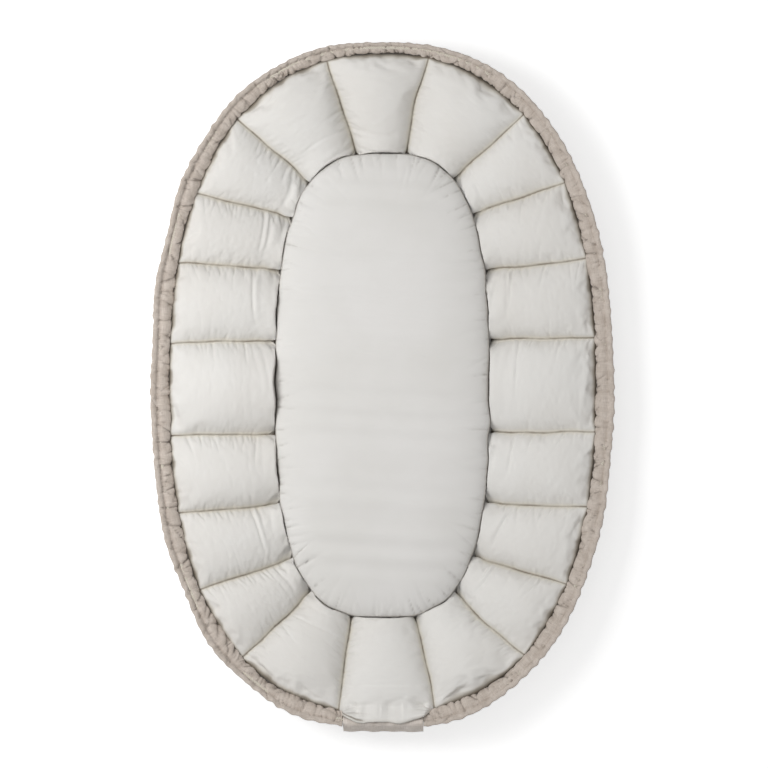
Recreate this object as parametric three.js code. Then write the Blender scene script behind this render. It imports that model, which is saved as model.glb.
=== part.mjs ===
// Infant lounger: an oval sleeping mat inside a stuffed wall that has fallen open all round.
// The wall is a cream liner and a beige skirt sewn together along radial seams, with one
// stuffed channel between each two seams. A gathered beige casing with a drawcord runs along
// the rim, open at the foot, where a short flap covers the drawcord's knot.
// Millimetres, +Z up, +Y towards the head, +X to the right of someone who looks down with the
// head at the top. The origin is on the floor, under the middle of the whole object.

import * as THREE from 'three';
import { mergeVertices } from 'three/addons/utils/BufferGeometryUtils.js';

// Driving dimensions of all pieces
const FABRIC = 0.8; // one layer of cotton or linen
const GAP = 0.3; // clearance between neighbouring pieces

// The sleeping mat
const MATTRESS_LENGTH = 606;
const MATTRESS_WIDTH = 279;
const MATTRESS_SQUARENESS = 2.94;
const MATTRESS_SEAM_RISE = 14; // underside to the seam round its edge
const MATTRESS_CROWN = 24; // edge seam to the top of the crown
const NEST_MARGIN = 3; // play between the mattress's edge and the wall's foot seam

// The wall, from its foot seam on the floor panel to its rim seam on the casing
const WALL_SIDE_LEAN = 134.5; // how far it reaches outwards at the middle of a long side
const WALL_END_LEAN = 116.5; // the same at the head and the foot
const WALL_SIDE_RISE = 36;
const WALL_END_RISE = 50;
const WALL_FLOOR_GAP = 2.6; // the stuffing is flattened this high above the floor
const RIM_SQUARENESS = 2.4; // power of the rim's superellipse; 2 is an ellipse

// The floor panel: beige outside, wadding, cream lining
const PANEL_FABRIC = 1.2;
const PANEL_WADDING = 6;
const PANEL_LIP = 4; // how far the panel reaches past the wall's foot seam

// The rim casing, its drawcord and the flap over the opening at the foot
const CASING_WIDTH = 26; // flattened tube, measured from the rim seam outwards
const CASING_THICKNESS = 14;
const CASING_SEAM_GAP = 0.6;
const CASING_SIDE_PITCH = 40; // degrees that the casing stands up by at the long sides
const CASING_END_PITCH = 54; // the same at the head and the foot
const GATHER_DEPTH = 2.6; // how deep the gathers are drawn into the casing
const CORD_DIAMETER = 5;
const CORD_CLEARANCE = 0.7;
const KNOT_DIAMETER = 9;
const KNOT_LENGTH = 15;
const FLAP_WIDTH = 102;
const FLAP_SIDE_GAP = 1;
const FLAP_THICKNESS = 1.6;
const FLAP_CLEARANCE = 1.4; // between the flap and the knot that it covers
const FLAP_TAIL = 13; // the straight part that hangs outside the knot
const FLAP_SEAM_GAP = 1.4; // from the rim seam to the flap's sewn edge, along the casing

// Where each radial seam starts on the wall's foot and ends on the rim, as shares of the two
// ovals' lengths, counted from the middle of the foot, turning towards +X first.
const SEAM_SHARES = [
  [0.027, 0.030], [0.068, 0.090], [0.102, 0.136], [0.149, 0.181], [0.210, 0.223],
  [0.289, 0.276], [0.349, 0.321], [0.398, 0.365], [0.433, 0.410], [0.480, 0.473],
  [0.522, 0.531], [0.571, 0.592], [0.605, 0.640], [0.651, 0.681], [0.712, 0.727],
  [0.792, 0.779], [0.852, 0.823], [0.900, 0.868], [0.932, 0.913], [0.973, 0.976],
];
const CHANNELS = SEAM_SHARES.length;

// Lines of the quilted grid: across one channel from seam to seam, and up the wall's slope
const ACROSS_SHARES = [0, 0.1, 0.37, 0.63, 0.9];
const SLOPE_SHARES = [0, 0.12, 0.37, 0.63, 0.88, 1];
const FILL_EDGE_SHARE = 0.02; // how far the stuffing stays back from the seams round it
const FRONT_PUFF_SHARE = 0.27; // height of a channel's crown, as a share of its width
const BACK_PUFF_SHARE = 0.19;
const CROWN_SKEW = 0.8; // below 1, the crown lies nearer the foot seam than the rim seam
const SETTLE_SHARES = [0.12, 0.37]; // where the back settles from the panel onto the floor

// Depth of the casing's gathers at one station after the other
const GATHER_SHARES = [0, 0.8, 0.2, 1, 0.1, 0.6, 0.3, 0.9];

// Section of the mattress: [inset as a share of half its width, rise as a share of its part]
const MATTRESS_TOP_SHARES = [[0, 0], [0.012, 0.34], [0.06, 0.62], [0.2, 0.84], [0.55, 1]];
const MATTRESS_UNDER_SHARES = [[0, 0], [0.02, 0.6], [0.09, 1]];

const MATTRESS_SIDES = 44;
const PANEL_SIDES = 80;
const CASING_STATIONS = 96;
const CASING_SIDES = 8;
const CORD_SIDES = 6;
const OVAL_STEPS = 1440;

// Colours and surfaces
const CREAM_COTTON = { color: 0xe4e1dc, roughness: 0.9, metalness: 0 };
const BEIGE_LINEN = { color: 0xc3bab0, roughness: 0.95, metalness: 0 };
const WHITE_FILL = { color: 0xf2f2ef, roughness: 1, metalness: 0 };
const FOAM = { color: 0xf0ead0, roughness: 1, metalness: 0 };
const COTTON_CORD = { color: 0xd9d4c8, roughness: 0.9, metalness: 0 };

const lounger = new THREE.Group();

function addMesh(name, geometry, surface) {
  const mesh = new THREE.Mesh(geometry, new THREE.MeshStandardMaterial(surface));
  mesh.name = name;
  lounger.add(mesh);
  return mesh;
}

// A closed body gathered from triangles and quads, with its shared points merged.
class Body {
  constructor() {
    this.corners = [];
  }

  triangle(a, b, c) {
    this.corners.push(a, b, c);
  }

  // The quad's diagonal runs from a to c, or from b to d where turned is true.
  quad(a, b, c, d, turned = false) {
    if (turned) {
      this.triangle(a, b, d);
      this.triangle(b, c, d);
    } else {
      this.triangle(a, b, c);
      this.triangle(a, c, d);
    }
  }

  geometry() {
    const shape = new THREE.BufferGeometry().setFromPoints(this.corners);
    return mergeVertices(shape);
  }
}

// A superellipse that is measured by share of its length, from the foot's middle towards +X.
class Oval {
  constructor(length, width, squareness) {
    this.points = [];
    this.reach = [0];
    const round = (value) => Math.sign(value) * Math.abs(value) ** (2 / squareness);
    for (let step = 0; step <= OVAL_STEPS; step += 1) {
      const angle = (step / OVAL_STEPS) * 2 * Math.PI - Math.PI / 2;
      const x = (width / 2) * round(Math.cos(angle));
      const y = (length / 2) * round(Math.sin(angle));
      const point = new THREE.Vector3(x, y, 0);
      if (step > 0) {
        this.reach.push(this.reach[step - 1] + point.distanceTo(this.points[step - 1]));
      }
      this.points.push(point);
    }
    this.perimeter = this.reach[OVAL_STEPS];
  }

  at(share) {
    const along = (share - Math.floor(share)) * this.perimeter;
    let low = 0;
    let high = OVAL_STEPS;
    while (high - low > 1) {
      const middle = Math.floor((low + high) / 2);
      if (this.reach[middle] <= along) low = middle;
      else high = middle;
    }
    const part = (along - this.reach[low]) / (this.reach[high] - this.reach[low]);
    return this.points[low].clone().lerp(this.points[high], part);
  }
}

// Heights of the floor panel's layers, the mattress and the wall's foot
const waddingBottom = PANEL_FABRIC + GAP;
const liningBottom = waddingBottom + PANEL_WADDING + GAP;
const panelTop = liningBottom + PANEL_FABRIC;
const mattressBottom = panelTop + GAP;
const mattressSeam = mattressBottom + MATTRESS_SEAM_RISE;
const wallFoot = panelTop + GAP + FABRIC + GAP;

const footLength = MATTRESS_LENGTH + 2 * NEST_MARGIN;
const footWidth = MATTRESS_WIDTH + 2 * NEST_MARGIN;
const rimLength = footLength + 2 * WALL_END_LEAN;
const rimWidth = footWidth + 2 * WALL_SIDE_LEAN;
const footOval = new Oval(footLength, footWidth, MATTRESS_SQUARENESS);
const rimOval = new Oval(rimLength, rimWidth, RIM_SQUARENESS);

// A station is a place round the wall: a seam's number plus the share of the way to the next.
function seamShares(seam) {
  const turns = Math.floor(seam / CHANNELS);
  const [footShare, rimShare] = SEAM_SHARES[seam - turns * CHANNELS];
  return [footShare + turns, rimShare + turns];
}

function stationAtRim(rimShare) {
  let seam = -1;
  while (seamShares(seam + 1)[1] <= rimShare) seam += 1;
  const from = seamShares(seam)[1];
  const to = seamShares(seam + 1)[1];
  return seam + (rimShare - from) / (to - from);
}

// A value that changes smoothly from the middles of the long sides to the head and the foot
function betweenSideAndEnd(sideValue, endValue, rimPoint) {
  const endShare = THREE.MathUtils.smoothstep(Math.abs(rimPoint.y), 0, rimLength / 2);
  return THREE.MathUtils.lerp(sideValue, endValue, endShare);
}

// The wall's middle surface is ruled from the foot seam to the rim seam, which rises smoothly
// from the middle of each long side towards the head and the foot.
function wallPoint(station, slopeShare) {
  const seam = Math.floor(station);
  const part = station - seam;
  const [footFrom, rimFrom] = seamShares(seam);
  const [footTo, rimTo] = seamShares(seam + 1);
  const foot = footOval.at(footFrom + (footTo - footFrom) * part);
  const rim = rimOval.at(rimFrom + (rimTo - rimFrom) * part);
  foot.z = wallFoot;
  rim.z = wallFoot + betweenSideAndEnd(WALL_SIDE_RISE, WALL_END_RISE, rim);
  return foot.lerp(rim, slopeShare);
}

// Directions at a place on the wall: along the seam line, up the slope and square to both,
// with the last pointing to the inside.
function wallFrame(station, slopeShare) {
  const nearbyShare = 0.02;
  const before = wallPoint(station - nearbyShare, slopeShare);
  const after = wallPoint(station + nearbyShare, slopeShare);
  const along = after.sub(before).normalize();
  const up = wallPoint(station, 1).sub(wallPoint(station, 0));
  up.addScaledVector(along, -up.dot(along)).normalize();
  const inward = up.clone().cross(along);
  return { along, up, inward };
}

const roundShare = (share) => Math.sqrt(4 * share * (1 - share));

// Height of a channel's crown over the middle surface, for a crown of 1 times its width.
function crownWidth(channel, acrossShare, slopeShare) {
  const width = wallPoint(channel, slopeShare).distanceTo(wallPoint(channel + 1, slopeShare));
  return width * roundShare(acrossShare) * roundShare(slopeShare ** CROWN_SKEW);
}

// A point of the puffed wall, whose back lies flat on the floor where it would reach it.
function wallOffset(channel, acrossShare, slopeShare, puffShare, offset) {
  const station = channel + acrossShare;
  const { inward } = wallFrame(station, slopeShare);
  const middle = wallPoint(station, slopeShare);
  const settled = THREE.MathUtils.smoothstep(slopeShare, ...SETTLE_SHARES);
  const lowest = THREE.MathUtils.lerp(wallFoot, WALL_FLOOR_GAP, settled);
  const roomBelow = (middle.z - lowest) / inward.z;
  const crown = Math.max(puffShare * crownWidth(channel, acrossShare, slopeShare), -roomBelow);
  return middle.addScaledVector(inward, crown + offset);
}

// Diagonals of a channel's grid run from its corners towards its middle.
function turnedQuad(column, row) {
  const left = column % ACROSS_SHARES.length < (ACROSS_SHARES.length - 1) / 2;
  const low = row < (SLOPE_SHARES.length - 2) / 2;
  return left !== low;
}

// A quilted skin that goes all round the wall, between two offsets from the middle surface.
function quiltedSkin(puffShare, innerOffset, outerOffset) {
  const layers = [innerOffset, outerOffset].map((offset) => {
    const columns = [];
    for (let channel = 0; channel < CHANNELS; channel += 1) {
      for (const across of ACROSS_SHARES) {
        const rows = SLOPE_SHARES.map((up) => wallOffset(channel, across, up, puffShare, offset));
        columns.push(rows);
      }
    }
    return columns;
  });
  const [back, front] = layers;
  const body = new Body();
  const last = SLOPE_SHARES.length - 1;
  for (let column = 0; column < front.length; column += 1) {
    const next = (column + 1) % front.length;
    for (let row = 0; row < last; row += 1) {
      const turned = turnedQuad(column, row);
      const face = (grid) => [grid[column][row], grid[column][row + 1], grid[next][row + 1],
        grid[next][row]];
      body.quad(...face(front), turned);
      const [a, b, c, d] = face(back);
      body.quad(a, d, c, b, turned);
    }
    body.quad(back[column][0], front[column][0], front[next][0], back[next][0]);
    body.quad(front[column][last], back[column][last], back[next][last], front[next][last]);
  }
  return body.geometry();
}

// The stuffing of one channel: a pillow whose two faces meet in an edge beside the seams.
function channelFill(channel) {
  const acrossLines = [FILL_EDGE_SHARE, ...ACROSS_SHARES.slice(1), 1 - FILL_EDGE_SHARE];
  const slopeLines = [FILL_EDGE_SHARE, ...SLOPE_SHARES.slice(1, -1), 1 - FILL_EDGE_SHARE];
  const lastColumn = acrossLines.length - 1;
  const lastRow = slopeLines.length - 1;
  const side = (puffShare, offset) => acrossLines.map((across, column) => (
    slopeLines.map((up, row) => {
      const edge = column === 0 || row === 0 || column === lastColumn || row === lastRow;
      if (edge) return wallPoint(channel + across, up);
      return wallOffset(channel, across, up, puffShare, offset);
    })));
  const front = side(FRONT_PUFF_SHARE, -GAP / 2);
  const back = side(-BACK_PUFF_SHARE, GAP / 2);
  const body = new Body();
  for (let column = 0; column < lastColumn; column += 1) {
    for (let row = 0; row < lastRow; row += 1) {
      const turned = turnedQuad(column, row);
      body.quad(front[column][row], front[column][row + 1], front[column + 1][row + 1],
        front[column + 1][row], turned);
      body.quad(back[column][row], back[column + 1][row], back[column + 1][row + 1],
        back[column][row + 1], turned);
    }
  }
  return body.geometry();
}

// A body from rings of points, each joined to the next, closed by a flat face at both ends.
function ringStack(rings) {
  const body = new Body();
  const count = rings[0].length;
  for (let level = 0; level < rings.length - 1; level += 1) {
    for (let side = 0; side < count; side += 1) {
      const next = (side + 1) % count;
      body.quad(rings[level][side], rings[level][next], rings[level + 1][next],
        rings[level + 1][side]);
    }
  }
  const first = rings[0];
  const last = rings[rings.length - 1];
  for (let side = 0; side < count / 2 - 1; side += 1) {
    const mirror = count - 1 - side;
    body.quad(last[side], last[side + 1], last[mirror - 1], last[mirror]);
    body.quad(first[mirror], first[mirror - 1], first[side + 1], first[side]);
  }
  return body.geometry();
}

// Floor panel
function panelLayer(bottom, thickness) {
  const outline = new Oval(footLength + 2 * PANEL_LIP, footWidth + 2 * PANEL_LIP,
    MATTRESS_SQUARENESS);
  const points = [];
  for (let side = 0; side < PANEL_SIDES; side += 1) {
    const { x, y } = outline.at(side / PANEL_SIDES);
    points.push(new THREE.Vector2(x, y));
  }
  const layer = new THREE.ExtrudeGeometry(new THREE.Shape(points), {
    depth: thickness,
    bevelEnabled: false,
  });
  layer.translate(0, 0, bottom);
  return layer;
}

addMesh('base_outer', panelLayer(0, PANEL_FABRIC), BEIGE_LINEN);
addMesh('base_wadding', panelLayer(waddingBottom, PANEL_WADDING), WHITE_FILL);
addMesh('base_lining', panelLayer(liningBottom, PANEL_FABRIC), CREAM_COTTON);

// Wall
const seamFace = GAP / 2;
const linerSkin = quiltedSkin(FRONT_PUFF_SHARE, seamFace, seamFace + FABRIC);
const skirtSkin = quiltedSkin(-BACK_PUFF_SHARE, -seamFace - FABRIC, -seamFace);
addMesh('wall_liner', linerSkin, CREAM_COTTON);
addMesh('wall_skirt', skirtSkin, BEIGE_LINEN);
for (let channel = 0; channel < CHANNELS; channel += 1) {
  const number = String(channel + 1).padStart(2, '0');
  addMesh(`wall_fill_${number}`, channelFill(channel), WHITE_FILL);
}

// Rim casing and drawcord. Both follow one centre line beyond the rim seam, where the casing
// stands up more steeply than the wall.
const centreReach = CASING_SEAM_GAP + CASING_WIDTH / 2;
const openingShare = (FLAP_WIDTH / 2 + FLAP_SIDE_GAP) / rimOval.perimeter;
const knotShare = (KNOT_LENGTH / 2 + GAP) / rimOval.perimeter;

// Directions at a place on the casing: away from the rim seam, and square to it, inwards
function casingFrame(station) {
  const { along } = wallFrame(station, 1);
  const pitch = betweenSideAndEnd(CASING_SIDE_PITCH, CASING_END_PITCH, wallPoint(station, 1));
  const angle = THREE.MathUtils.degToRad(pitch);
  const up = new THREE.Vector3(0, 0, 1);
  const outward = along.clone().cross(up).normalize();
  up.multiplyScalar(Math.sin(angle)).addScaledVector(outward, Math.cos(angle));
  up.addScaledVector(along, -up.dot(along)).normalize();
  return { up, inward: up.clone().cross(along) };
}

function rimSection(rimShare, radiusUp, radiusIn, sides) {
  const station = stationAtRim(rimShare);
  const { up, inward } = casingFrame(station);
  const centre = wallPoint(station, 1).addScaledVector(up, centreReach);
  const points = [];
  for (let side = 0; side < sides; side += 1) {
    const angle = (side / sides) * 2 * Math.PI;
    const point = centre.clone().addScaledVector(up, radiusUp * Math.cos(angle));
    points.push(point.addScaledVector(inward, radiusIn * Math.sin(angle)));
  }
  return points;
}

function joinSections(body, sections, inside) {
  for (let index = 0; index < sections.length - 1; index += 1) {
    const count = sections[index].length;
    for (let side = 0; side < count; side += 1) {
      const next = (side + 1) % count;
      const face = [sections[index][side], sections[index + 1][side],
        sections[index + 1][next], sections[index][next]];
      if (inside) face.reverse();
      body.quad(...face);
    }
  }
}

const casingShares = [];
for (let index = 0; index <= CASING_STATIONS; index += 1) {
  casingShares.push(openingShare + (1 - 2 * openingShare) * (index / CASING_STATIONS));
}

function casingBody() {
  const boreRadius = CORD_DIAMETER / 2 + CORD_CLEARANCE;
  const outer = casingShares.map((share, index) => {
    const gather = GATHER_SHARES[index % GATHER_SHARES.length] * GATHER_DEPTH;
    return rimSection(share, (CASING_WIDTH - gather) / 2, (CASING_THICKNESS - gather) / 2,
      CASING_SIDES);
  });
  const bore = casingShares.map((share) => rimSection(share, boreRadius, boreRadius, CORD_SIDES));
  const body = new Body();
  joinSections(body, outer, false);
  joinSections(body, bore, true);
  for (const end of [0, CASING_STATIONS]) {
    const mouth = [...outer[end], ...bore[end]];
    const flat = (count, radiusUp, radiusIn) => {
      const points = [];
      for (let side = 0; side < count; side += 1) {
        const angle = (side / count) * 2 * Math.PI;
        points.push(new THREE.Vector2(radiusUp * Math.cos(angle), radiusIn * Math.sin(angle)));
      }
      return points;
    };
    const rim = flat(CASING_SIDES, CASING_WIDTH / 2, CASING_THICKNESS / 2);
    const hole = flat(CORD_SIDES, boreRadius, boreRadius);
    for (const [a, b, c] of THREE.ShapeUtils.triangulateShape(rim, [hole])) {
      if (end === 0) body.triangle(mouth[a], mouth[b], mouth[c]);
      else body.triangle(mouth[a], mouth[c], mouth[b]);
    }
  }
  return body.geometry();
}

function cordBody() {
  const toMouthShares = [knotShare, (knotShare + openingShare) / 2];
  const fromMouthShares = [...toMouthShares].reverse().map((share) => 1 - share);
  const shares = [...toMouthShares, ...casingShares, ...fromMouthShares];
  const radius = CORD_DIAMETER / 2;
  const sections = shares.map((share) => rimSection(share, radius, radius, CORD_SIDES));
  const body = new Body();
  joinSections(body, sections, false);
  const start = sections[0];
  const stop = sections[sections.length - 1];
  for (let side = 1; side < CORD_SIDES - 1; side += 1) {
    body.triangle(start[0], start[side], start[side + 1]);
    body.triangle(stop[0], stop[side + 1], stop[side]);
  }
  return body.geometry();
}

addMesh('rim_casing', casingBody(), BEIGE_LINEN);
addMesh('rim_drawcord', cordBody(), COTTON_CORD);

// The middle of the foot: the rim seam, the drawcord's knot and the flap over it
const footStation = stationAtRim(0);
const footSeam = wallPoint(footStation, 1);
const footFrame = casingFrame(footStation);
const knotCentre = footSeam.clone().addScaledVector(footFrame.up, centreReach);

const knotSides = 10;
const knotRings = 8;
const knot = new THREE.SphereGeometry(KNOT_DIAMETER / 2, knotSides, knotRings);
knot.rotateZ(Math.PI / 2);
knot.scale(KNOT_LENGTH / KNOT_DIAMETER, 1, 1);
addMesh('drawcord_knot', knot, COTTON_CORD).position.copy(knotCentre);

// The flap's middle line, in (outward, up) from the rim seam: up beside the knot, over it in
// an arc, and straight down outside it.
function flapSection() {
  const outKnot = footSeam.y - knotCentre.y;
  const upKnot = knotCentre.z - footSeam.z;
  const arcRadius = KNOT_DIAMETER / 2 + FLAP_CLEARANCE + FLAP_THICKNESS / 2;
  const tailAngle = THREE.MathUtils.degToRad(40);
  const arcSteps = 7;
  const line = [new THREE.Vector2(-footFrame.up.y, footFrame.up.z).multiplyScalar(FLAP_SEAM_GAP)];
  for (let step = 0; step <= arcSteps; step += 1) {
    const angle = Math.PI + (tailAngle - Math.PI) * (step / arcSteps);
    line.push(new THREE.Vector2(outKnot + arcRadius * Math.cos(angle),
      upKnot + arcRadius * Math.sin(angle)));
  }
  const end = line[line.length - 1];
  line.push(new THREE.Vector2(end.x + FLAP_TAIL * Math.sin(tailAngle),
    end.y - FLAP_TAIL * Math.cos(tailAngle)));
  return line;
}

// Both faces of a line that is given a thickness, as one outline
function thickened(line, thickness) {
  const sides = [[], []];
  line.forEach((point, index) => {
    const before = line[Math.max(index - 1, 0)];
    const after = line[Math.min(index + 1, line.length - 1)];
    const direction = after.clone().sub(before).normalize();
    const square = new THREE.Vector2(-direction.y, direction.x).multiplyScalar(thickness / 2);
    sides[0].push(point.clone().add(square));
    sides[1].unshift(point.clone().sub(square));
  });
  return [...sides[0], ...sides[1]];
}

const flapOutline = new THREE.Shape(thickened(flapSection(), FLAP_THICKNESS));
const flap = new THREE.ExtrudeGeometry(flapOutline, {
  depth: FLAP_WIDTH,
  bevelEnabled: false,
});
// The section's first axis points to the foot, its second up and the extrusion to -X.
flap.translate(0, 0, -FLAP_WIDTH / 2);
flap.applyMatrix4(new THREE.Matrix4().makeBasis(new THREE.Vector3(0, -1, 0),
  new THREE.Vector3(0, 0, 1), new THREE.Vector3(-1, 0, 0)));
addMesh('foot_flap', flap, BEIGE_LINEN).position.copy(footSeam);

// Mattress: a top and an under cover that meet in a seam round the edge, and a core
const mattressOval = new Oval(MATTRESS_LENGTH, MATTRESS_WIDTH, MATTRESS_SQUARENESS);

function mattressRing(inset, height) {
  const ring = [];
  for (let side = 0; side < MATTRESS_SIDES; side += 1) {
    const { x, y } = mattressOval.at((side + 0.5) / MATTRESS_SIDES);
    const drawnX = x * (1 - inset / (MATTRESS_WIDTH / 2));
    const drawnY = y * (1 - inset / (MATTRESS_LENGTH / 2));
    ring.push(new THREE.Vector3(drawnX, drawnY, height));
  }
  return ring;
}

// Rings of the mattress's upper or under face, drawn in by a depth, from the edge to the middle
function mattressFace(profileShares, rise, depth, seamDepth) {
  return profileShares.map(([insetShare, riseShare]) => {
    const inset = insetShare * (MATTRESS_WIDTH / 2) + depth;
    const height = Math.max(Math.abs(rise) * riseShare - depth, seamDepth);
    return mattressRing(inset, mattressSeam + Math.sign(rise) * height);
  });
}

const seamHalf = GAP / 2;
const coreDepth = FABRIC + GAP;
const topOutside = mattressFace(MATTRESS_TOP_SHARES, MATTRESS_CROWN, 0, seamHalf);
const topInside = mattressFace(MATTRESS_TOP_SHARES, MATTRESS_CROWN, FABRIC, seamHalf);
const underOutside = mattressFace(MATTRESS_UNDER_SHARES, -MATTRESS_SEAM_RISE, 0, seamHalf);
const underInside = mattressFace(MATTRESS_UNDER_SHARES, -MATTRESS_SEAM_RISE, FABRIC, seamHalf);
const topCore = mattressFace(MATTRESS_TOP_SHARES, MATTRESS_CROWN, coreDepth, 0);
const underCore = mattressFace(MATTRESS_UNDER_SHARES, -MATTRESS_SEAM_RISE, coreDepth, 0);

addMesh('mattress_top_cover', ringStack([...topInside.reverse(), ...topOutside]), CREAM_COTTON);
addMesh('mattress_under_cover', ringStack([...underOutside.reverse(), ...underInside]),
  CREAM_COTTON);
addMesh('mattress_core', ringStack([...underCore.reverse(), ...topCore.slice(1)]), FOAM);

// The origin lies under the middle of the whole object, whose flap reaches past the oval.
const extent = new THREE.Box3().setFromObject(lounger);
lounger.position.y = -(extent.min.y + extent.max.y) / 2;
lounger.updateMatrixWorld(true);

export default lounger;
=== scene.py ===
"""The looks of an infant lounger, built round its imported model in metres.

The wall's off-white liner and beige skirt are blown up by cloth simulation between their
seams. The rim casing is a strip of linen that is gathered onto the rim and stitched through.
The mattress, the floor panel, the flap, the drawcord and its knot follow the frame's sizes.
"""

import math

import bpy
import numpy as np
from mathutils import Matrix, Vector
from mathutils.bvhtree import BVHTree


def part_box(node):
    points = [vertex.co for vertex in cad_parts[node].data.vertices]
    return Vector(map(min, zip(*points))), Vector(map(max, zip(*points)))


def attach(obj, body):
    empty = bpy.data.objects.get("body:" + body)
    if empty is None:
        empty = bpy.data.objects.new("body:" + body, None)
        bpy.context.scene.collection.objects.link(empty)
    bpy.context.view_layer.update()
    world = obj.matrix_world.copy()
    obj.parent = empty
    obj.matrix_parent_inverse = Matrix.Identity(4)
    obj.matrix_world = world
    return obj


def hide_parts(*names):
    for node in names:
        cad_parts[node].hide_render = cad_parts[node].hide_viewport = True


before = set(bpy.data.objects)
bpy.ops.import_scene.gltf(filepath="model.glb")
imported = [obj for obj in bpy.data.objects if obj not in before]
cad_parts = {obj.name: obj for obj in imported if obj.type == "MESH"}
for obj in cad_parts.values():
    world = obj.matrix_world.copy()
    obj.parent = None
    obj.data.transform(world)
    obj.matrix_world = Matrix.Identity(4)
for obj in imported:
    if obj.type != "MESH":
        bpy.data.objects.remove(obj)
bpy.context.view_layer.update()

# Sizes that the frame gives
TOP_LOW, TOP_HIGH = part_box("mattress_top_cover")
UNDER_LOW, UNDER_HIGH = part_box("mattress_under_cover")
PANEL_LOW, PANEL_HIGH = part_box("base_outer")
LINING_LOW, LINING_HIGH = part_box("base_lining")
FLAP_LOW, FLAP_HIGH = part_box("foot_flap")
KNOT_LOW, KNOT_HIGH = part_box("drawcord_knot")

# The wall, as it is sewn
PANEL_LIP = 0.004
RIM_LENGTH = 0.845
RIM_WIDTH = 0.554
FOOT_LENGTH = LINING_HIGH.y - LINING_LOW.y - 2 * PANEL_LIP
FOOT_WIDTH = LINING_HIGH.x - LINING_LOW.x - 2 * PANEL_LIP
CENTRE_Y = (LINING_HIGH.y + LINING_LOW.y) / 2
FOOT_Z = 0.0104
SIDE_RISE = 0.036
END_RISE = 0.050
CASING_SIDE_PITCH = math.radians(40)
CASING_END_PITCH = math.radians(54)
RIM_SQUARENESS = 2.4
MATTRESS_SQUARENESS = 2.94
CLOTH = 0.0008
UP = np.array([0, 0, 1.0])

# Each radial seam's place on the wall's foot and on its rim, as shares of the two ovals'
# lengths, counted from the middle of the foot and turning towards +X first
SEAM_SHARES = np.array([
    [0.027, 0.030], [0.068, 0.090], [0.102, 0.136], [0.149, 0.181], [0.210, 0.223],
    [0.289, 0.276], [0.349, 0.321], [0.398, 0.365], [0.433, 0.410], [0.480, 0.473],
    [0.522, 0.531], [0.571, 0.592], [0.605, 0.640], [0.651, 0.681], [0.712, 0.727],
    [0.792, 0.779], [0.852, 0.823], [0.900, 0.868], [0.932, 0.913], [0.973, 0.976],
])
CHANNELS = len(SEAM_SHARES)
SEAM_TINT_REACH = 0.006

# How far each sewn seam bows and wavers, as a share of the ovals' lengths
WAVERS = 4
bow_random = np.random.default_rng(3)
SEAM_BOWS = bow_random.normal(0, 0.0006, CHANNELS)
SEAM_WAVERS = bow_random.normal(0, 0.00014, (CHANNELS, WAVERS))

# At the head the rim runs farther out than its oval, along this share of the rim each way
HEAD_BULGE = 0.0050
HEAD_REACH = 0.06


# Shapes that several pieces share

class Oval:
    """A superellipse measured by share of its length, from the middle of the foot to +X."""

    def __init__(self, length, width, squareness, steps=2880):
        angle = np.linspace(-math.pi / 2, 1.5 * math.pi, steps + 1)
        self.squareness = squareness
        self.half_width = width / 2
        self.half_length = length / 2
        self.x = self.half_width * self.rounded(np.cos(angle))
        self.y = self.half_length * self.rounded(np.sin(angle))
        steps_along = np.hypot(np.diff(self.x), np.diff(self.y))
        self.reach = np.concatenate([[0], np.cumsum(steps_along)])
        self.perimeter = self.reach[-1]
        self.bearing = np.unwrap(np.arctan2(self.y, self.x))

    def rounded(self, value):
        return np.sign(value) * np.abs(value) ** (2 / self.squareness)

    def at(self, share):
        along = (share % 1.0) * self.perimeter
        return np.interp(along, self.reach, self.x), np.interp(along, self.reach, self.y)

    def size_through(self, x, y):
        """Size, as a share of this oval, of the like oval that runs through a point."""
        return (np.abs(x / self.half_width) ** self.squareness
                + np.abs(y / self.half_length) ** self.squareness) ** (1 / self.squareness)

    def along_at(self, x, y):
        """Distance along the oval to the place that lies towards a point from the middle."""
        bearing = (np.arctan2(y, x) + math.pi / 2) % (2 * math.pi) - math.pi / 2
        return np.interp(bearing, self.bearing, self.reach)


foot_oval = Oval(FOOT_LENGTH, FOOT_WIDTH, MATTRESS_SQUARENESS)
rim_oval = Oval(RIM_LENGTH, RIM_WIDTH, RIM_SQUARENESS)
mattress_oval = Oval(TOP_HIGH.y - TOP_LOW.y, TOP_HIGH.x - TOP_LOW.x, MATTRESS_SQUARENESS)


def seam_stray(seam, up):
    """How far a seam is off its straight line part of the way up, as a share of the ovals."""
    stray = SEAM_BOWS[seam % CHANNELS] * np.sin(math.pi * up)
    for number in range(WAVERS):
        waver = SEAM_WAVERS[seam % CHANNELS, number]
        stray = stray + waver * np.sin((number + 2) * math.pi * up)
    return stray


def ramp(value, low, high):
    """0 below low, 1 above high, and smooth between them."""
    share = np.clip((value - low) / (high - low), 0, 1)
    return share * share * (3 - 2 * share)


def bell(value, width):
    """1 at a value of 0, falling to nearly 0 at twice the width."""
    return np.exp(-(value / width) ** 2)


def side_to_end(side_value, end_value, rim_y):
    """A value that changes smoothly from the middles of the long sides to the two ends."""
    return side_value + (end_value - side_value) * ramp(np.abs(rim_y), 0, RIM_LENGTH / 2)


def head_share(rim_share):
    """1 at the middle of the head, falling to 0 a quarter of the way round to the foot."""
    return bell(rim_share % 1.0 - 0.5, HEAD_REACH)


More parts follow.
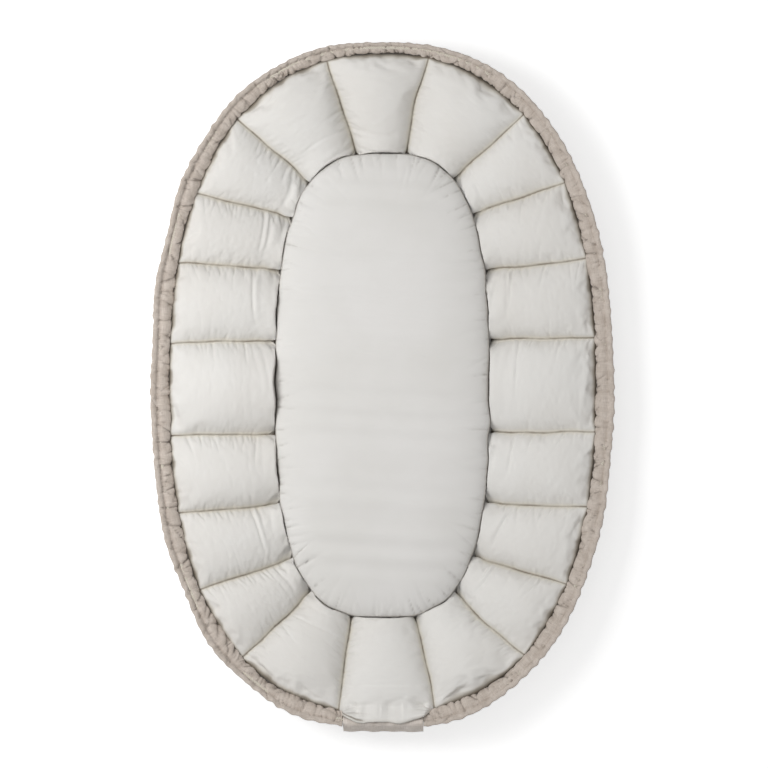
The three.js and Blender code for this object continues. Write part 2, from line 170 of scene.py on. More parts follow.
def wall_point(station, up):
    """Points of the wall's middle surface. A station is a seam's number plus a share of the
    way to the next, and up is the share of the slope from the foot seam to the rim seam."""
    seam = np.floor(station).astype(int)
    part = station - seam
    here = SEAM_SHARES[seam % CHANNELS] + (seam // CHANNELS)[..., None]
    there = SEAM_SHARES[(seam + 1) % CHANNELS] + ((seam + 1) // CHANNELS)[..., None]
    share = here + (there - here) * part[..., None]
    stray = seam_stray(seam, up) * (1 - part) + seam_stray(seam + 1, up) * part
    foot_x, foot_y = foot_oval.at(share[..., 0] + stray)
    rim_x, rim_y = rim_oval.at(share[..., 1] + stray)
    rise = side_to_end(SIDE_RISE, END_RISE, rim_y)
    rim_y = rim_y + HEAD_BULGE * head_share(share[..., 1])
    x = foot_x + (rim_x - foot_x) * up
    y = foot_y + (rim_y - foot_y) * up + CENTRE_Y
    return np.stack([x, y, FOOT_Z + rise * up], -1)


def unit(vectors):
    return vectors / np.linalg.norm(vectors, axis=-1, keepdims=True)


def wall_frame(station, up):
    """Unit vectors along the seam line, up the slope, and square to both, to the inside."""
    nearby = 0.02
    along = unit(wall_point(station + nearby, up) - wall_point(station - nearby, up))
    slope = wall_point(station, 1.0 + 0 * up) - wall_point(station, 0 * up)
    slope = unit(slope - (slope * along).sum(-1, keepdims=True) * along)
    return along, slope, np.cross(slope, along)


def casing_frame(station):
    """Unit vectors on the rim: away from the rim seam, and square to that, inwards. The
    casing stands up more steeply than the wall."""
    along = wall_frame(station, 1 + 0 * station)[0]
    rim_y = wall_point(station, 1 + 0 * station)[..., 1] - CENTRE_Y
    pitch = side_to_end(CASING_SIDE_PITCH, CASING_END_PITCH, rim_y)[..., None]
    outward = unit(np.cross(along, UP))
    slope = outward * np.cos(pitch) + UP * np.sin(pitch)
    slope = unit(slope - (slope * along).sum(-1, keepdims=True) * along)
    return slope, np.cross(slope, along)


def station_at_rim(rim_share):
    """The station whose place on the rim is that share."""
    seams = np.arange(-1, CHANNELS + 2)
    shares = SEAM_SHARES[seams % CHANNELS, 1] + seams // CHANNELS
    return np.interp(rim_share, shares, seams)


def dome(share, power=0.5):
    """0 at both ends of a share and 1 in its middle; power 0.5 makes it a half ellipse."""
    return np.clip(4 * share * (1 - share), 0, 1) ** power


WAVE_PARTS = 7
WAVE_PARTS_HEIGHT = 2.6


def soft_waves(places, pitch, random):
    """Slow uneven waves along one direction, of height about 1."""
    total = np.zeros_like(places)
    for number in range(WAVE_PARTS):
        wave = pitch * random.uniform(0.7, 1.9)
        total += np.sin(2 * math.pi * places / wave + random.uniform(0, 2 * math.pi))
    return total / WAVE_PARTS_HEIGHT


def creases(along, away, length, random, pitch, reach, depth, width, slant=0.25, sharp=False,
            spread=0):
    """Depth of puckers that run from a sewn edge of some length: along is the place on the
    edge, and away the distance from it. Pitch, reach, depth and width are about the middle of
    what the puckers have, each its own, and slant is how much they lean. A sharp one is
    folded like a V, and the others are rounded. With a spread they start anywhere up to that
    distance from the edge."""
    count = max(int(length / pitch), 1)
    places = (np.arange(count) + random.uniform(0.1, 0.9, count)) * length / count
    reaches = reach * random.uniform(0.35, 1.3, count)
    depths = depth * random.uniform(0.3, 1.2, count)
    widths = width * random.uniform(0.7, 1.3, count)
    slants = random.normal(0, slant, count)
    starts = spread * random.uniform(0, 1, count)
    total = np.zeros_like(along)
    for place, far, deep, wide, lean, begin in zip(places, reaches, depths, widths, slants,
                                                   starts):
        beyond = away - begin
        offset = np.abs(along - place - lean * beyond)
        close = (offset < 4 * wide) & (np.abs(beyond) < 2.5 * far)
        shape = np.exp(-offset[close] / wide) if sharp else bell(offset[close], wide)
        total[close] += deep * shape * bell(beyond[close], far)
    return total


# Making and finishing a mesh

def deselect_all():
    if bpy.context.object and bpy.context.object.mode != "OBJECT":
        bpy.ops.object.mode_set(mode="OBJECT")
    bpy.ops.object.select_all(action="DESELECT")


def activate(piece):
    deselect_all()
    piece.select_set(True)
    bpy.context.view_layer.objects.active = piece


def edit_all(piece, operator, **settings):
    """Runs one edit-mode operator on the whole mesh."""
    activate(piece)
    bpy.ops.object.mode_set(mode="EDIT")
    bpy.ops.mesh.select_all(action="SELECT")
    operator(**settings)
    bpy.ops.object.mode_set(mode="OBJECT")


def read_values(items, field, numbers=1):
    """One field of every item of a mesh, as an array."""
    values = np.empty(len(items) * numbers, np.float32)
    items.foreach_get(field, values)
    return values.astype(float)


def read_points(piece):
    return read_values(piece.data.vertices, "co", 3).reshape(-1, 3)


def read_normals(piece):
    return read_values(piece.data.vertex_normals, "vector", 3).reshape(-1, 3)


def read_attribute(piece, name):
    return read_values(piece.data.attributes[name].data, "value")


def place_points(piece, points):
    piece.data.vertices.foreach_set("co", np.ascontiguousarray(points, np.float32).ravel())
    piece.data.update()


def write_attribute(piece, name, values):
    held = piece.data.attributes.get(name) or piece.data.attributes.new(name, "FLOAT", "POINT")
    held.data.foreach_set("value", np.ascontiguousarray(values, np.float32))


def cloth_grid(name, columns, rows):
    """A grid over the unit square, whose two shares are kept as attributes across and up."""
    deselect_all()
    bpy.ops.mesh.primitive_grid_add(x_subdivisions=columns, y_subdivisions=rows, size=1,
                                    location=(0.5, 0.5, 0))
    piece = bpy.context.active_object
    bpy.ops.object.transform_apply(location=True, rotation=False, scale=False)
    piece.name = name
    piece.data.name = name
    shares = np.round(read_points(piece)[:, :2], 6)
    write_attribute(piece, "across", shares[:, 0])
    write_attribute(piece, "up", shares[:, 1])
    return piece, shares[:, 0], shares[:, 1]


def scale_uv(piece, width, height):
    """The UV map in metres of cloth, so that a weave keeps its size."""
    layer = piece.data.uv_layers.active.data
    places = read_values(layer, "uv", 2).reshape(-1, 2)
    layer.foreach_set("uv", (places * [width, height]).ravel())


def apply_modifier(piece, modifier):
    activate(piece)
    bpy.ops.object.modifier_apply(modifier=modifier.name)


def subdivide(piece):
    rounding = piece.modifiers.new("rounding", "SUBSURF")
    rounding.levels = 1
    rounding.render_levels = 1
    apply_modifier(piece, rounding)


def thicken(piece, thickness=CLOTH):
    solid = piece.modifiers.new("thickness", "SOLIDIFY")
    solid.thickness = thickness
    solid.offset = -1
    apply_modifier(piece, solid)


def face_towards(piece, directions):
    """Turns the faces over if they look away from the directions given for the vertices."""
    if (read_normals(piece) * directions).sum() < 0:
        edit_all(piece, bpy.ops.mesh.flip_normals)


def sharpen(piece, sharp):
    """Keeps the mesh's lines between sharp vertices as creases when it is subdivided."""
    ends = np.empty(len(piece.data.edges) * 2, np.int32)
    piece.data.edges.foreach_get("vertices", ends)
    ends = ends.reshape(-1, 2)
    held = piece.data.attributes.new("crease_edge", "FLOAT", "EDGE")
    held.data.foreach_set("value", np.where(sharp[ends].all(1), 1.0, 0.0).astype(np.float32))


CLOTH_SETTINGS = {
    "quality": 5, "mass": 0.15, "tension_stiffness": 15, "compression_stiffness": 15,
    "shear_stiffness": 5, "tension_damping": 5, "compression_damping": 5, "shear_damping": 5,
    "bending_damping": 0.5, "air_damping": 1, "use_pressure": True,
}


def simulate(piece, pinned, pressure, slack, seam_slack, bending, frames):
    """Blows the cloth up between its pinned points and keeps the result. slack is how much
    longer than its start the cloth is, and seam_slack the same beside the seams; attribute
    plain says where each of them holds."""
    sewn = piece.vertex_groups.new(name="sewn")
    sewn.add(np.flatnonzero(pinned).tolist(), 1.0, "REPLACE")
    plain = piece.vertex_groups.new(name="plain")
    for number, weight in enumerate(read_attribute(piece, "plain")):
        plain.add([number], weight, "REPLACE")
    cloth = piece.modifiers.new("cloth", "CLOTH")
    settings = cloth.settings
    for name, value in CLOTH_SETTINGS.items():
        setattr(settings, name, value)
    settings.bending_stiffness = bending
    settings.uniform_pressure_force = pressure
    settings.vertex_group_mass = sewn.name
    settings.vertex_group_shrink = plain.name
    settings.shrink_min = -seam_slack
    settings.shrink_max = -slack
    settings.effector_weights.gravity = 0
    cloth.collision_settings.use_collision = False
    cloth.point_cache.frame_start = 1
    cloth.point_cache.frame_end = frames
    for number in range(1, frames + 1):
        bpy.context.scene.frame_set(number)
    apply_modifier(piece, cloth)
    piece.vertex_groups.clear()
    bpy.context.scene.frame_set(1)


def finish_piece(piece, material, body, slot, *nodes):
    piece.data.materials.clear()
    piece.data.materials.append(material)
    activate(piece)
    bpy.ops.object.shade_smooth()
    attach(piece, body)
    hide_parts(*nodes)


# Materials

def linear(tones):
    """Linear light from tones of red, green and blue 8-bit screen values."""
    def channel(value):
        value /= 255
        return value / 12.92 if value <= 0.04045 else ((value + 0.055) / 1.055) ** 2.4
    return [(*(channel(value) for value in tone), 1) for tone in tones]


class Cloth:
    """The node tree of one woven cloth, read in metres from the piece's UV map."""

    def __init__(self, name, roughness, sheen):
        self.material = bpy.data.materials.new(name)
        self.material.use_nodes = True
        self.nodes = self.material.node_tree.nodes
        self.links = self.material.node_tree.links
        self.nodes.clear()
        self.shader = self.add("ShaderNodeBsdfPrincipled")
        self.shader.inputs["Roughness"].default_value = roughness
        self.shader.inputs["Sheen Weight"].default_value = sheen
        output = self.add("ShaderNodeOutputMaterial")
        self.link(self.shader.outputs["BSDF"], output.inputs["Surface"])
        self.place = self.add("ShaderNodeTexCoord")

    def add(self, kind, **settings):
        node = self.nodes.new(kind)
        for name, value in settings.items():
            setattr(node, name, value)
        return node

    def link(self, source, target):
        self.links.new(source, target)

    def noise(self, scale, detail, source="UV"):
        """Noise whose grain has its own pitch along each axis of the cloth."""
        mapping = self.add("ShaderNodeMapping")
        mapping.inputs["Scale"].default_value = scale
        self.link(self.place.outputs[source], mapping.inputs["Vector"])
        node = self.add("ShaderNodeTexNoise")
        node.inputs["Scale"].default_value = 1
        node.inputs["Detail"].default_value = detail
        self.link(mapping.outputs["Vector"], node.inputs["Vector"])
        return node.outputs["Fac"]

    def threads(self, axis, pitch):
        """Waves across the threads that run along one axis."""
        wave = self.add("ShaderNodeTexWave", bands_direction=axis, wave_profile="SIN")
        wave.inputs["Scale"].default_value = 2 * math.pi / (20 * pitch)
        wave.inputs["Distortion"].default_value = 0.6
        wave.inputs["Detail"].default_value = 1
        self.link(self.place.outputs["UV"], wave.inputs["Vector"])
        return wave.outputs["Fac"]

    def maths(self, operation, *values):
        node = self.add("ShaderNodeMath", operation=operation)
        for socket, value in zip(node.inputs, values):
            if isinstance(value, (int, float)):
                socket.default_value = value
            else:
                self.link(value, socket)
        return node.outputs["Value"]

    def spread(self, factor, low, high):
        """Stretches the values between low and high to 0 and 1."""
        node = self.add("ShaderNodeMapRange")
        node.inputs["From Min"].default_value = low
        node.inputs["From Max"].default_value = high
        self.link(factor, node.inputs["Value"])
        return node.outputs["Result"]

    def blend(self, factor, first, second):
        node = self.add("ShaderNodeMix", data_type="RGBA")
        self.link(factor, node.inputs["Factor"])
        for socket, value in ((node.inputs["A"], first), (node.inputs["B"], second)):
            if isinstance(value, tuple):
                socket.default_value = value
            else:
                self.link(value, socket)
        return node.outputs["Result"]

    def bump(self, height, strength, distance):
        node = self.add("ShaderNodeBump")
        node.inputs["Strength"].default_value = strength
        node.inputs["Distance"].default_value = distance
        self.link(height, node.inputs["Height"])
        self.link(node.outputs["Normal"], self.shader.inputs["Normal"])

    def seamed(self, base, halo, line):
        """The base colour with a tone round each seam and a line in it, painted as the warm
        bounced light and the shade in the seam's valley, and the line's colour painted as shade
        in the crevices, gaps and folds. Attribute seam falls evenly from 1 at a seam to 0 at its
        tint's edge."""
        seam = self.add("ShaderNodeAttribute", attribute_name="seam").outputs["Fac"]
        crevice = self.add("ShaderNodeAttribute", attribute_name="crevice").outputs["Fac"]
        uneven = self.spread(self.noise((40, 40, 40), 3, "Object"), 0.3, 0.62)
        around = self.maths("MULTIPLY", self.spread(seam, 0.25, 1.0), 0.5)
        core = self.spread(seam, 0.70, 0.96)
        core = self.maths("MULTIPLY", core, self.maths("MULTIPLY_ADD", uneven, 0.45, 0.30))
        tinted = self.blend(core, self.blend(around, base, halo), line)
        # Painted shade: the line's colour laid into crevices, gaps and folds.
        return self.blend(crevice, tinted, line)

    def colour(self, source):
        self.link(source, self.shader.inputs["Base Color"])


def cotton(name, *tones):
    """Smooth off-white cotton: a fine weave, faint slubs, and at its seams a yellowish tone
    round a thin dark line, painted as bounced light and shade in the seam's valley. The tones are
    the light, the shade, the tone at seams and the line, which is also the painted shade in
    crevices."""
    light, shade, halo, line = linear(tones)
    cloth = Cloth(name, roughness=0.8, sheen=0.12)
    tone = cloth.spread(cloth.noise((9, 9, 9), 3, "Object"), 0.35, 0.65)
    slubs = cloth.spread(cloth.noise((60, 1400, 1), 2), 0.55, 0.8)
    base = cloth.blend(tone, shade, light)
    base = cloth.blend(cloth.maths("MULTIPLY", slubs, 0.25), base, shade)
    cloth.colour(cloth.seamed(base, halo, line))
    weave = cloth.maths("ADD", cloth.threads("X", 0.0005), cloth.threads("Y", 0.00055))
    cloth.bump(cloth.maths("ADD", weave, cloth.noise((700, 700, 1), 2)), 0.25, 0.0002)
    return cloth.material


def linen(name, *tones):
    """Beige melange linen: uneven threads both ways, some of them darker. The tones are the
    light, the middle, the dark, the tone at seams and the line; the last two are painted bounced
    light and shade at seams, and the line is also the painted shade in crevices."""
    light, middle, dark, halo, line = linear(tones)
    cloth = Cloth(name, roughness=0.9, sheen=0.15)
    warp = cloth.spread(cloth.noise((1500, 90, 1), 3), 0.42, 0.66)
    weft = cloth.spread(cloth.noise((90, 1500, 1), 3), 0.42, 0.66)
    patches = cloth.spread(cloth.noise((70, 70, 1), 4), 0.36, 0.62)
    base = cloth.blend(patches, middle, light)
    base = cloth.blend(cloth.maths("MULTIPLY", warp, 0.32), base, dark)
    base = cloth.blend(cloth.maths("MULTIPLY", weft, 0.32), base, dark)
    cloth.colour(cloth.seamed(base, halo, line))
    weave = cloth.maths("ADD", cloth.threads("X", 0.0007), cloth.threads("Y", 0.0007))
    cloth.bump(cloth.maths("ADD", weave, cloth.maths("ADD", warp, weft)), 0.4, 0.0004)
    return cloth.material


def braid(name, *tones):
    """Round cotton cord of slanting strands, in a light and a dark tone."""
    light, dark = linear(tones)
    cloth = Cloth(name, roughness=0.85, sheen=0.1)
    strands = cloth.add("ShaderNodeTexWave", bands_direction="DIAGONAL", wave_profile="SIN")
    strands.inputs["Scale"].default_value = 250
    cloth.link(cloth.place.outputs["UV"], strands.inputs["Vector"])
    cloth.colour(cloth.blend(strands.outputs["Fac"], dark, light))
    cloth.bump(strands.outputs["Fac"], 0.6, 0.0006)
    return cloth.material


liner_cotton = cotton("liner_cotton", (229, 227, 223), (224, 221, 216), (212, 204, 182),
                      (104, 90, 70))
mattress_cotton = cotton("mattress_cotton", (227, 225, 222), (222, 220, 216), (206, 198, 182),
                         (112, 98, 80))
casing_linen = linen("casing_linen", (219, 208, 198), (203, 191, 180), (166, 153, 141),
                     (170, 156, 142), (80, 67, 55))
# The flap's linen is the casing's linen painted lighter: painted light that makes up for the
# shade the flap's steep hang gets.
flap_linen = linen("flap_linen", (240, 231, 223), (230, 220, 210), (176, 164, 153),
                   (180, 167, 154), (84, 72, 60))
skirt_linen = linen("skirt_linen", (214, 204, 194), (204, 194, 183), (163, 151, 139),
                    (172, 160, 147), (92, 80, 68))
cotton_cord = braid("cotton_cord", (226, 220, 208), (196, 188, 172))


# Camera, straight above and a little to the right and the foot, as the photograph was taken

PHOTO_SIDE = 768
RIM_CENTRE_PX = (381.6, 384.2)
RIM_METRES_PER_PX = 0.001291
LENS = 85
SENSOR = 36
RIM_HEIGHT = 0.0464
CAMERA_OFFSET = (0.1045, -0.061)

camera_data = bpy.data.cameras.new("camera")
camera_data.lens = LENS
camera_data.sensor_width = SENSOR
camera = bpy.data.objects.new("camera", camera_data)
bpy.context.scene.collection.objects.link(camera)
aim = Vector(((PHOTO_SIDE / 2 - RIM_CENTRE_PX[0]) * RIM_METRES_PER_PX,
              CENTRE_Y + (RIM_CENTRE_PX[1] - PHOTO_SIDE / 2) * RIM_METRES_PER_PX, RIM_HEIGHT))
back = Vector((*CAMERA_OFFSET, PHOTO_SIDE * RIM_METRES_PER_PX * LENS / SENSOR))
camera.location = aim + back
back.normalize()
right = Vector((0, 1, 0)).cross(back).normalized()
camera.rotation_euler = Matrix((right, back.cross(right), back)).transposed().to_euler()
bpy.context.scene.camera = camera


# Wall: a liner and a skirt, each one cloth sewn down along the radial, foot and rim seams

# The skirt leaves the panel's edge and settles to the floor between these shares of the slope
SETTLE_SHARES = (0.12, 0.37)
SETTLED_Z = 0.0026
PANEL_CLEAR_Z = LINING_HIGH.z + 0.0005
FLOOR_CLEAR_Z = 0.0012
CLEAR_REACH = 0.009


def lift_off_floor(piece):
    """Flattens the parts of the skirt that would sink into the floor or the panel's edge."""
    points = read_points(piece)
    x, y = points[:, 0], points[:, 1] - CENTRE_Y
    size = foot_oval.size_through(x, y)
    beyond = np.hypot(x, y) * (1 - 1 / np.maximum(size, 0.5)) - PANEL_LIP
    lowest = PANEL_CLEAR_Z + (FLOOR_CLEAR_Z - PANEL_CLEAR_Z) * ramp(beyond, 0, CLEAR_REACH)
    points[:, 2] = np.maximum(points[:, 2], lowest)
    place_points(piece, points)


def channel_width(channel, up):
    return np.linalg.norm(wall_point(channel + 1, up) - wall_point(channel, up), axis=-1)


def slope_length(station):
    whole = wall_point(station, 1 + 0 * station) - wall_point(station, 0 * station)
    return np.linalg.norm(whole, axis=-1)


SAME_PLACE = 1e-4
SEAM_STIFF_REACH = 0.002


def quilt(name, columns, rows, facing, shape, settings):
    """A cloth round the whole wall that is puffed to one side of the middle surface, with
    columns points across each channel. facing is 1 for the inside and -1 for the outside,
    which settles from the panel to the floor. Returns the piece and which of its points lie
    on a radial seam."""
    piece, across, up = cloth_grid(name, CHANNELS * columns, rows)
    station = across * CHANNELS
    channel = np.floor(station)
    part = station - channel
    seam_line = np.abs(station - np.round(station)) < SAME_PLACE
    sewn = seam_line | (up < SAME_PLACE) | (up > 1 - SAME_PLACE)
    width = channel_width(channel, up)
    random = np.random.default_rng(settings["seed"])
    fullness = random.uniform(0.9, 1.1, CHANNELS + 1)[channel.astype(int)]
    tilt = random.uniform(-0.12, 0.12, CHANNELS + 1)[channel.astype(int)]
    height = shape["crown"] * width * fullness * dome(part, shape["side"])
    height *= dome(up ** shape["skew"], shape["end"]) * (1 + tilt * (2 * part - 1))
    height = np.where(sewn, CLOTH / 4, height + random.normal(0, 0.0003, len(height)))
    inward = wall_frame(station, up)[2]
    middle = wall_point(station, up)
    if facing < 0:
        lowest = FOOT_Z + (SETTLED_Z - FOOT_Z) * ramp(up, *SETTLE_SHARES)
        height = np.minimum(height, (middle[:, 2] - lowest) / inward[:, 2])
    place_points(piece, middle + inward * (facing * height)[:, None])
    slope = slope_length(station)
    scale_uv(piece, rim_oval.perimeter, slope.mean())
    face_towards(piece, inward * facing)
    from_seam = np.minimum(np.minimum(part, 1 - part) * width,
                           np.minimum(up, 1 - up) * slope)
    plain = ramp(from_seam, SEAM_STIFF_REACH, settings["seam_reach"])
    write_attribute(piece, "plain", plain)
    simulate(piece, sewn, settings["pressure"], settings["slack"], settings["seam_slack"],
             settings["bending"], settings["frames"])
    return piece, seam_line


def quilt_places(piece):
    """Where a quilt's points are: channel, share across it, and the distances from the seam
    before, the seam after, the foot and the rim."""
    station = read_attribute(piece, "across") * CHANNELS
    up = np.clip(read_attribute(piece, "up"), 0, 1)
    channel = np.clip(np.floor(station + 1e-5), 0, CHANNELS - 1)
    part = np.clip(station - channel, 0, 1)
    width = channel_width(channel, up)
    slope = slope_length(station)
    return channel, part, part * width, (1 - part) * width, up * slope, (1 - up) * slope


def pucker_seams(piece, depth, pitch, reach, seed):
    """Sinks fine puckers into both sides of each radial seam, and beside the rim and the
    foot. The side that lies towards the foot of each seam is gathered most, and a few pleats
    run farther there."""
    channel, _, before, after, from_foot, from_rim = quilt_places(piece)
    random = np.random.default_rng(seed)
    sunk = np.zeros(len(channel))
    for number in range(CHANNELS):
        own = channel == number
        slope = (from_foot + from_rim)[own].mean()
        headward = after if number < CHANNELS // 2 else before
        for away in (before, after):
            strength = random.uniform(0.25, 0.6)
            if away is headward:
                strength = random.uniform(0.9, 1.4)
            sunk[own] += creases(from_foot[own], away[own], slope, random, pitch=pitch,
                                 reach=reach, depth=depth * strength, width=pitch / 4.5)
            sunk[own] += creases(from_foot[own], away[own], slope, random,
                                 pitch=2.6 * pitch, reach=2.1 * reach,
                                 depth=1.1 * depth * strength, width=pitch / 4, slant=0.3)
        width = (before + after)[own].mean()
        for away in (from_foot, from_rim):
            sunk[own] += creases(before[own], away[own], width, random, pitch=1.6 * pitch,
                                 reach=1.2 * reach, depth=depth, width=pitch / 3, slant=0.5)
    edge = np.minimum(np.minimum(before, after), np.minimum(from_foot, from_rim))
    sunk *= ramp(edge, 0, 0.004)
    place_points(piece, read_points(piece) - read_normals(piece) * sunk[:, None])
    # Painted light and shade: the warm tone and dark line beside the radial seams and the rim,
    # and the line's colour as painted shade in the crevice under the casing's edge and in the
    # crevice against the mattress.
    near = np.minimum(np.minimum(before, after), from_rim)
    write_attribute(piece, "seam", np.clip(1 - near / SEAM_TINT_REACH, 0, 1))
    spread = 0.0010 * ramp(soft_waves(before + 0.13 * channel, 0.035, random), -0.6, 1.0)
    at_rim = 0.75 * (1 - ramp(from_rim - spread, 0.0002, 0.0030))
    at_foot = 0.5 * (1 - ramp(from_foot, 0.002, 0.007))
    write_attribute(piece, "crevice", np.maximum(at_rim, at_foot))


BASE_FOLDS = 4


def fold_base(piece, seed):
    """Lays long, nearly parallel folds along the base of each channel, where the mattress
    presses on it. They start at the seam on the head's side and fade towards the other."""
    channel, part, _, _, from_foot, _ = quilt_places(piece)
    random = np.random.default_rng(seed)
    raised = np.zeros(len(channel))
    for number in range(CHANNELS):
        own = channel == number
        along = part[own] if number >= CHANNELS // 2 else 1 - part[own]
        converge = random.uniform(0.05, 0.45)
        start = random.uniform(0.008, 0.013)
        for fold in range(BASE_FOLDS):
            strength = random.choice([0.35, 0.8, 1.25])
            bow = random.uniform(-0.004, 0.006)
            level = start * (1 - converge * along) + bow * np.sin(math.pi * along)
            thick = random.uniform(0.0016, 0.0024)
            offset = (from_foot[own] - level) / thick
            ridge = 0.55 * bell(offset + 2.3, 1.5) - bell(offset, 1)
            end = random.uniform(0.5, 1.0)
            reach = ramp(along, 0.0, 0.08) * (1 - ramp(along, end - 0.35, end))
            raised[own] += random.uniform(0.0006, 0.0014) * strength * ridge * reach
            start += random.uniform(0.007, 0.011)
    place_points(piece, read_points(piece) + read_normals(piece) * raised[:, None])


EDGE_STEPS = 1440
edge_places = np.linspace(0, mattress_oval.perimeter, EDGE_STEPS)


def edge_waves(pitch, seed):
    """Soft waves round the mattress's edge, which fade out where its length starts and ends."""
    waves = soft_waves(edge_places, pitch, np.random.default_rng(seed))
    return waves * np.minimum(1, np.minimum(edge_places, edge_places[::-1]) / 0.05)


mattress_waves = 0.0008 * edge_waves(0.05, 17)
crevice_waves = edge_waves(0.06, 19)


def mattress_edge(x, y):
    """Size that the like oval has, as a share of the mattress, where its edge lies."""
    wave = np.interp(mattress_oval.along_at(x, y), edge_places, mattress_waves)
    return 1 + wave / (np.hypot(x, y) / mattress_oval.size_through(x, y))


CREVICE_LEAST = 0.0001
CREVICE_OPENS = 0.0006


def crevice_gap(x, y):
    """Width of the crevice between the mattress and the liner, which opens here and there."""
    wave = np.interp(mattress_oval.along_at(x, y), edge_places, crevice_waves)
    return CREVICE_LEAST + CREVICE_OPENS * ramp(wave, 0.3, 1.3)


def scale_plan(piece, share_of):
    """Draws each point in or out from the middle of the mattress by its own share."""
    points = read_points(piece)
    x, y = points[:, 0].copy(), points[:, 1] - CENTRE_Y
    share = share_of(x, y, points[:, 2])
    points[:, 0] = x * share
    points[:, 1] = y * share + CENTRE_Y
    place_points(piece, points)


LEAN_MOST = 0.0095
LEAN_FADES = (0.008, 0.030)
LEAN_RISES = (FOOT_Z + 0.002, FOOT_Z + 0.010)


def lean_in(x, y, z):
    """For scale_plan: draws the lower part of the liner in to the mattress's side."""
    radius = np.hypot(x, y)
    size = mattress_oval.size_through(x, y)
    away = (size - mattress_edge(x, y)) * radius / size
    pull = np.clip(away - crevice_gap(x, y), 0, LEAN_MOST) * (1 - ramp(away, *LEAN_FADES))
    return 1 - pull * ramp(z, *LEAN_RISES) / radius


def clear_mattress(x, y, z):
    """For scale_plan: presses what would reach into the mattress back to its side."""
    size = mattress_oval.size_through(x, y)
    least = mattress_edge(x, y) + crevice_gap(x, y) / (np.hypot(x, y) / size)
    return np.maximum(least / size, 1)


WELD_DISTANCE = 1e-5

LINER_SHAPE = {"crown": 0.29, "side": 0.62, "skew": 0.56, "end": 0.38}
LINER_SETTINGS = {"seed": 5, "pressure": 5.0, "slack": 0.0, "seam_slack": 0.06,
                  "seam_reach": 0.02, "bending": 0.3, "frames": 18}
liner, seam_line = quilt("wall_liner_quilt", columns=22, rows=56, facing=1,
                         shape=LINER_SHAPE, settings=LINER_SETTINGS)
scale_plan(liner, clear_mattress)
sharpen(liner, seam_line)
subdivide(liner)
scale_plan(liner, lean_in)
pucker_seams(liner, depth=0.0013, pitch=0.0065, reach=0.010, seed=31)
fold_base(liner, seed=41)
scale_plan(liner, clear_mattress)
edit_all(liner, bpy.ops.mesh.remove_doubles, threshold=WELD_DISTANCE)
liner_tree = BVHTree.FromObject(liner, bpy.context.evaluated_depsgraph_get())
thicken(liner)
finish_piece(liner, liner_cotton, "nest", "liner_cotton", "wall_liner",
             *(f"wall_fill_{number:02d}" for number in range(1, CHANNELS + 1)))

SKIRT_SHAPE = {"crown": 0.19, "side": 0.5, "skew": 1.0, "end": 0.45}
SKIRT_SETTINGS = {"seed": 6, "pressure": 4.0, "slack": 0.005, "seam_slack": 0.05,
                  "seam_reach": 0.022, "bending": 0.4, "frames": 16}
skirt, seam_line = quilt("wall_skirt_quilt", columns=13, rows=24, facing=-1,
                         shape=SKIRT_SHAPE, settings=SKIRT_SETTINGS)
sharpen(skirt, seam_line)
subdivide(skirt)
pucker_seams(skirt, depth=0.0012, pitch=0.009, reach=0.012, seed=32)
lift_off_floor(skirt)
edit_all(skirt, bpy.ops.mesh.remove_doubles, threshold=WELD_DISTANCE)
thicken(skirt)
finish_piece(skirt, skirt_linen, "nest", "skirt_linen", "wall_skirt")


# Rim casing: a strip of linen folded to a tube, gathered onto the rim, stitched through near
# its outer edge and open at each side of the foot. It is joined from four lengths.

CASING_WIDTH = 0.026
CASING_SEAM_GAP = 0.0004
CASING_FULLNESS = 1.3
CASING_STRIP = 0.062
CASING_CLOTH = 0.0006
CASING_COLUMNS = 800
CASING_ROWS = 44
HEAD_NARROWING = 0.32
STITCH_SHARE = 0.66
TUBE_HEIGHT = 0.0062
OUTER_HEIGHT = 0.0026
LEAST_HEIGHT = 0.0008
FLAP_WIDTH = FLAP_HIGH.x - FLAP_LOW.x
FLAP_SHIFT = 0.0032
MOUTH_GAP = 0.0006
RIM_AROUND = rim_oval.perimeter
MOUTH_SHARE = (FLAP_WIDTH / 2 + 0.0008) / RIM_AROUND

# Folds all over the tube, and puckers at the stitches
CASING_CREASES = (
    {"pitch": 0.0058, "reach": 0.0080, "depth": 0.0021, "width": 0.0011, "slant": 0.9,
     "spread": 0.8 * CASING_WIDTH},
    {"pitch": 0.022, "reach": 0.016, "depth": 0.0026, "width": 0.0014, "slant": 0.5,
     "spread": 0.3 * CASING_WIDTH},
)
STITCH_CREASES = {"pitch": 0.0048, "reach": 0.0036, "depth": 0.0014, "width": 0.0010,
                  "slant": 0.6}

# Large gathers pinch the tube at uneven places, closer together at the head.
gather_random = np.random.default_rng(8)
GATHER_PLACES = [0.0]
while GATHER_PLACES[-1] < RIM_AROUND - 0.02:
    at_head = 1 - ramp(abs(GATHER_PLACES[-1] / RIM_AROUND - 0.5), 0.05, 0.16)
    step = np.clip(gather_random.lognormal(math.log(0.023), 0.5), 0.008, 0.060)
    GATHER_PLACES.append(GATHER_PLACES[-1] + step * (1 - 0.45 * at_head))
GATHER_PLACES = np.array([*GATHER_PLACES, RIM_AROUND + 0.02])
GATHER_COUNT = len(GATHER_PLACES)
GATHER_LEANS = gather_random.normal(0, 1.0, GATHER_COUNT)
GATHER_DEPTHS = gather_random.uniform(0.15, 1.0, GATHER_COUNT) ** 1.4
GATHER_REACHES = gather_random.uniform(0.004, 0.018, GATHER_COUNT)
GATHER_DEEPEST = 0.0027
GATHER_WIDTH = 0.0025
LOBE_SIZES = gather_random.uniform(0.1, 1.0, GATHER_COUNT)

